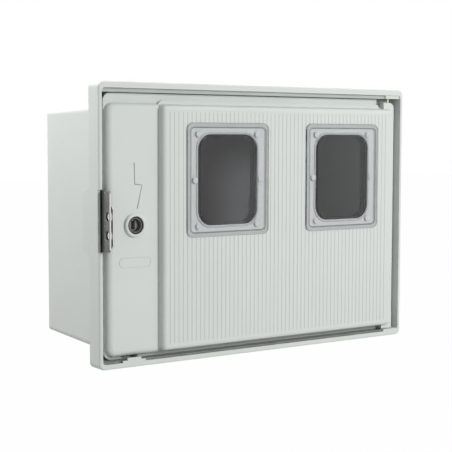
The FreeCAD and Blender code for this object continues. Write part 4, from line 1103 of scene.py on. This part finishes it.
board_low, board_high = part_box("meter_board_screws")
board_places = [(x, z) for x in (board_low.x + BOARD_HEAD_RADIUS, board_high.x - BOARD_HEAD_RADIUS)
                for z in (board_low.z + BOARD_HEAD_RADIUS, board_high.z - BOARD_HEAD_RADIUS)]
board_screws = fixing_set("board_screws", "meter_board_screws", BOARD_HEAD_RADIUS, BOARD_HEAD,
                          SMALL_SHANK_RADIUS, board_places)
finish_piece(board_screws, zinc_plate, "enclosure")

plate_screws = fixing_set("plate_screws", "padlock_plate_screws", PLATE_HEAD_RADIUS, PLATE_HEAD,
                          SMALL_SHANK_RADIUS, upright_pair("padlock_plate_screws"))
finish_piece(plate_screws, zinc_plate, "enclosure")

cam_low, cam_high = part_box("cam_screw")
cam_place = ((cam_low.x + cam_high.x) / 2, (cam_low.z + cam_high.z) / 2)
cam_screw = fixing_set("cam_cross_screw", "cam_screw", CAM_HEAD_RADIUS, CAM_HEAD, CAM_SHANK_RADIUS,
                       [cam_place], backwards=True)
finish_piece(cam_screw, zinc_plate, "lock")

# %% [markdown]
# ## Rivets of the hasp
# The door's plate is riveted through the panel from behind. A rivet is a screw without a cross, and its
# head is a low dome, so the same helper makes both.

# %% Rivets
hasp_rivets = fixing_set("door_rivets", "hasp_rivets", PLATE_HEAD_RADIUS, PLATE_HEAD, SMALL_SHANK_RADIUS,
                         upright_pair("hasp_rivets"), backwards=True, crossed=False)
finish_piece(hasp_rivets, zinc_plate, "door")

# %% [markdown]
# ## Push nuts of the windows
# Behind the door every window peg wears a push nut: a stamped washer whose teeth are bent back and bite
# into the peg. The construction has plain squares. Here a ring of points is extruded inwards twice, every
# fourth face of the inner ring is deleted so that teeth are left, and the sheet gets its thickness from a
# modifier.

# %% Push nuts
NUT_RADIUS = 4.4 * MM
NUT_RIM_HEIGHT = 0.5 * MM
NUT_TOOTH_ROOT = 0.6
NUT_TOOTH_TIP = 0.36
NUT_TOOTH_BEND = 0.35 * MM
NUT_SHEET = 0.3 * MM
NUT_SIDES = 24
NUT_GAP_EVERY = 4
INNER_RING_SHARE = 0.95

nut_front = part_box("window_push_nuts")[0].y
deselect()
bpy.ops.mesh.primitive_circle_add(vertices=NUT_SIDES, radius=NUT_RADIUS, rotation=UPRIGHT)
nut_pattern = name_new("push_nut_pattern")
edit_all()
bpy.ops.mesh.extrude_edges_move(TRANSFORM_OT_translate={"value": (0, NUT_RIM_HEIGHT, 0)})
for share, bend in ((NUT_TOOTH_ROOT, 0.0), (NUT_TOOTH_TIP / NUT_TOOTH_ROOT, NUT_TOOTH_BEND)):
    bpy.ops.mesh.extrude_edges_move(TRANSFORM_OT_translate={"value": (0, bend, 0)})
    bpy.ops.transform.resize(value=(share, 1, share), center_override=(0, 0, 0))
leave()
inner_ring = INNER_RING_SHARE * NUT_TOOTH_ROOT * NUT_RADIUS
step_angle = 2 * math.pi / NUT_SIDES


def between_teeth(place, _):
    """Whether a face is one of the gaps in the inner ring."""
    step = int(math.atan2(place.z, place.x) / step_angle + NUT_SIDES)
    return math.hypot(place.x, place.z) < inner_ring and step % NUT_GAP_EVERY == 0


pick(nut_pattern, "FACE", between_teeth)
bpy.ops.mesh.delete(type="FACE")
leave()
sheet = nut_pattern.modifiers.new("sheet", "SOLIDIFY")
sheet.thickness = NUT_SHEET
sheet.offset = 0
use_only(nut_pattern)
bpy.ops.object.modifier_apply(modifier=sheet.name)
nuts = [copy_piece(nut_pattern, "push_nut_%d" % number, (x, nut_front + NUT_SHEET / 2, z))
        for number, (x, z) in enumerate(peg_places)]
remove(nut_pattern)
push_nuts = join_pieces("push_nuts", nuts)
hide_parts("window_push_nuts")
finish_piece(push_nuts, zinc_plate, "door")

# %% [markdown]
# ## The foam strip
# The door shuts on a strip of foam that is glued to the ledge, along the top, the left and the bottom. Foam
# has no sharp edge, so the strip is modelled again: a bar for the left run, its ends extruded to the right
# for the other two, its front edges rounded, and a step cut away where the hasp's foot comes to lie.

# %% Foam strip
FOAM_WIDTH = 6.0 * MM
FOAM_ROUND = 1.8 * MM
HASP_ROOM = 2.0 * MM
HASP_ROOM_DEPTH = 3.0 * MM

foam_low, foam_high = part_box("door_seal")
foam_middle = (foam_low + foam_high) / 2
foam_size = foam_high - foam_low
run_half = foam_size.z / 2 - FOAM_WIDTH


def on_front_outline(place, _):
    """Whether an edge lies on the outline of the strip's front, and not on a seam between two runs."""
    across = place.x - foam_low.x
    from_middle = abs(place.z - foam_middle.z)
    seam_below_end = HAIR < across < FOAM_WIDTH - HAIR and abs(from_middle - run_half) < HAIR
    seam_beside_end = abs(across - FOAM_WIDTH) < HAIR and from_middle > run_half + HAIR
    return place.y < foam_low.y + HAIR and not (seam_below_end or seam_beside_end)


deselect()
bpy.ops.mesh.primitive_cube_add(size=1, location=(foam_low.x + FOAM_WIDTH / 2, foam_middle.y, foam_middle.z),
                                scale=(FOAM_WIDTH, foam_size.y, foam_size.z))
foam = name_new("foam_strip")
for height in (foam_low.z + FOAM_WIDTH, foam_high.z - FOAM_WIDTH):
    edit_all()
    bpy.ops.mesh.bisect(plane_co=(0, 0, height), plane_no=(0, 0, 1))
leave()
pick(foam, "FACE", lambda place, normal: normal.x > FACING and abs(place.z - foam_middle.z) > run_half)
extrude(x=foam_size.x - FOAM_WIDTH)
leave()
pick(foam, "EDGE", on_front_outline)
bpy.ops.mesh.bevel(offset=FOAM_ROUND, segments=4)
leave()
hasp_low, hasp_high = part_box("door_hasp_plate")
deselect()
bpy.ops.mesh.primitive_cube_add(
    size=1, location=(foam_low.x + FOAM_WIDTH / 2, foam_low.y, (hasp_low.z + hasp_high.z) / 2),
    scale=(2 * FOAM_WIDTH, 2 * HASP_ROOM_DEPTH, hasp_high.z - hasp_low.z + 2 * HASP_ROOM))
cut_away(foam, name_new("foam_cutter"))
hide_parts("door_seal")
finish_piece(foam, foam_black, "enclosure", smooth_deg=50)

# %% [markdown]
# ## A painted highlight on the rim of the lock's mouth
# The edge of the dark lock's mouth catches a fine line of light, and a pale ring stands there as a painted
# highlight. It is a ring, pressed flat so that it lies on the edge of the mouth.

# %% Painted highlight ring on the rim of the mouth
MOUTH_RIM_RADIUS = 9.3 * MM
MOUTH_RIM_HALF_WIDTH = 0.42 * MM
MOUTH_RIM_RISE = 0.25 * MM

mouth = (cam_place[0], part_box("lock_housing")[0].y, cam_place[1])
deselect()
bpy.ops.mesh.primitive_torus_add(major_radius=MOUTH_RIM_RADIUS, minor_radius=MOUTH_RIM_HALF_WIDTH,
                                 major_segments=64, minor_segments=12, rotation=UPRIGHT, location=mouth)
mouth_highlight_ring = name_new("mouth_highlight_ring")
edit_all()
bpy.ops.transform.resize(value=(1, MOUTH_RIM_RISE / MOUTH_RIM_HALF_WIDTH, 1), center_override=mouth)
leave()
finish_piece(mouth_highlight_ring, plug_grey, "door", smooth_deg=60)
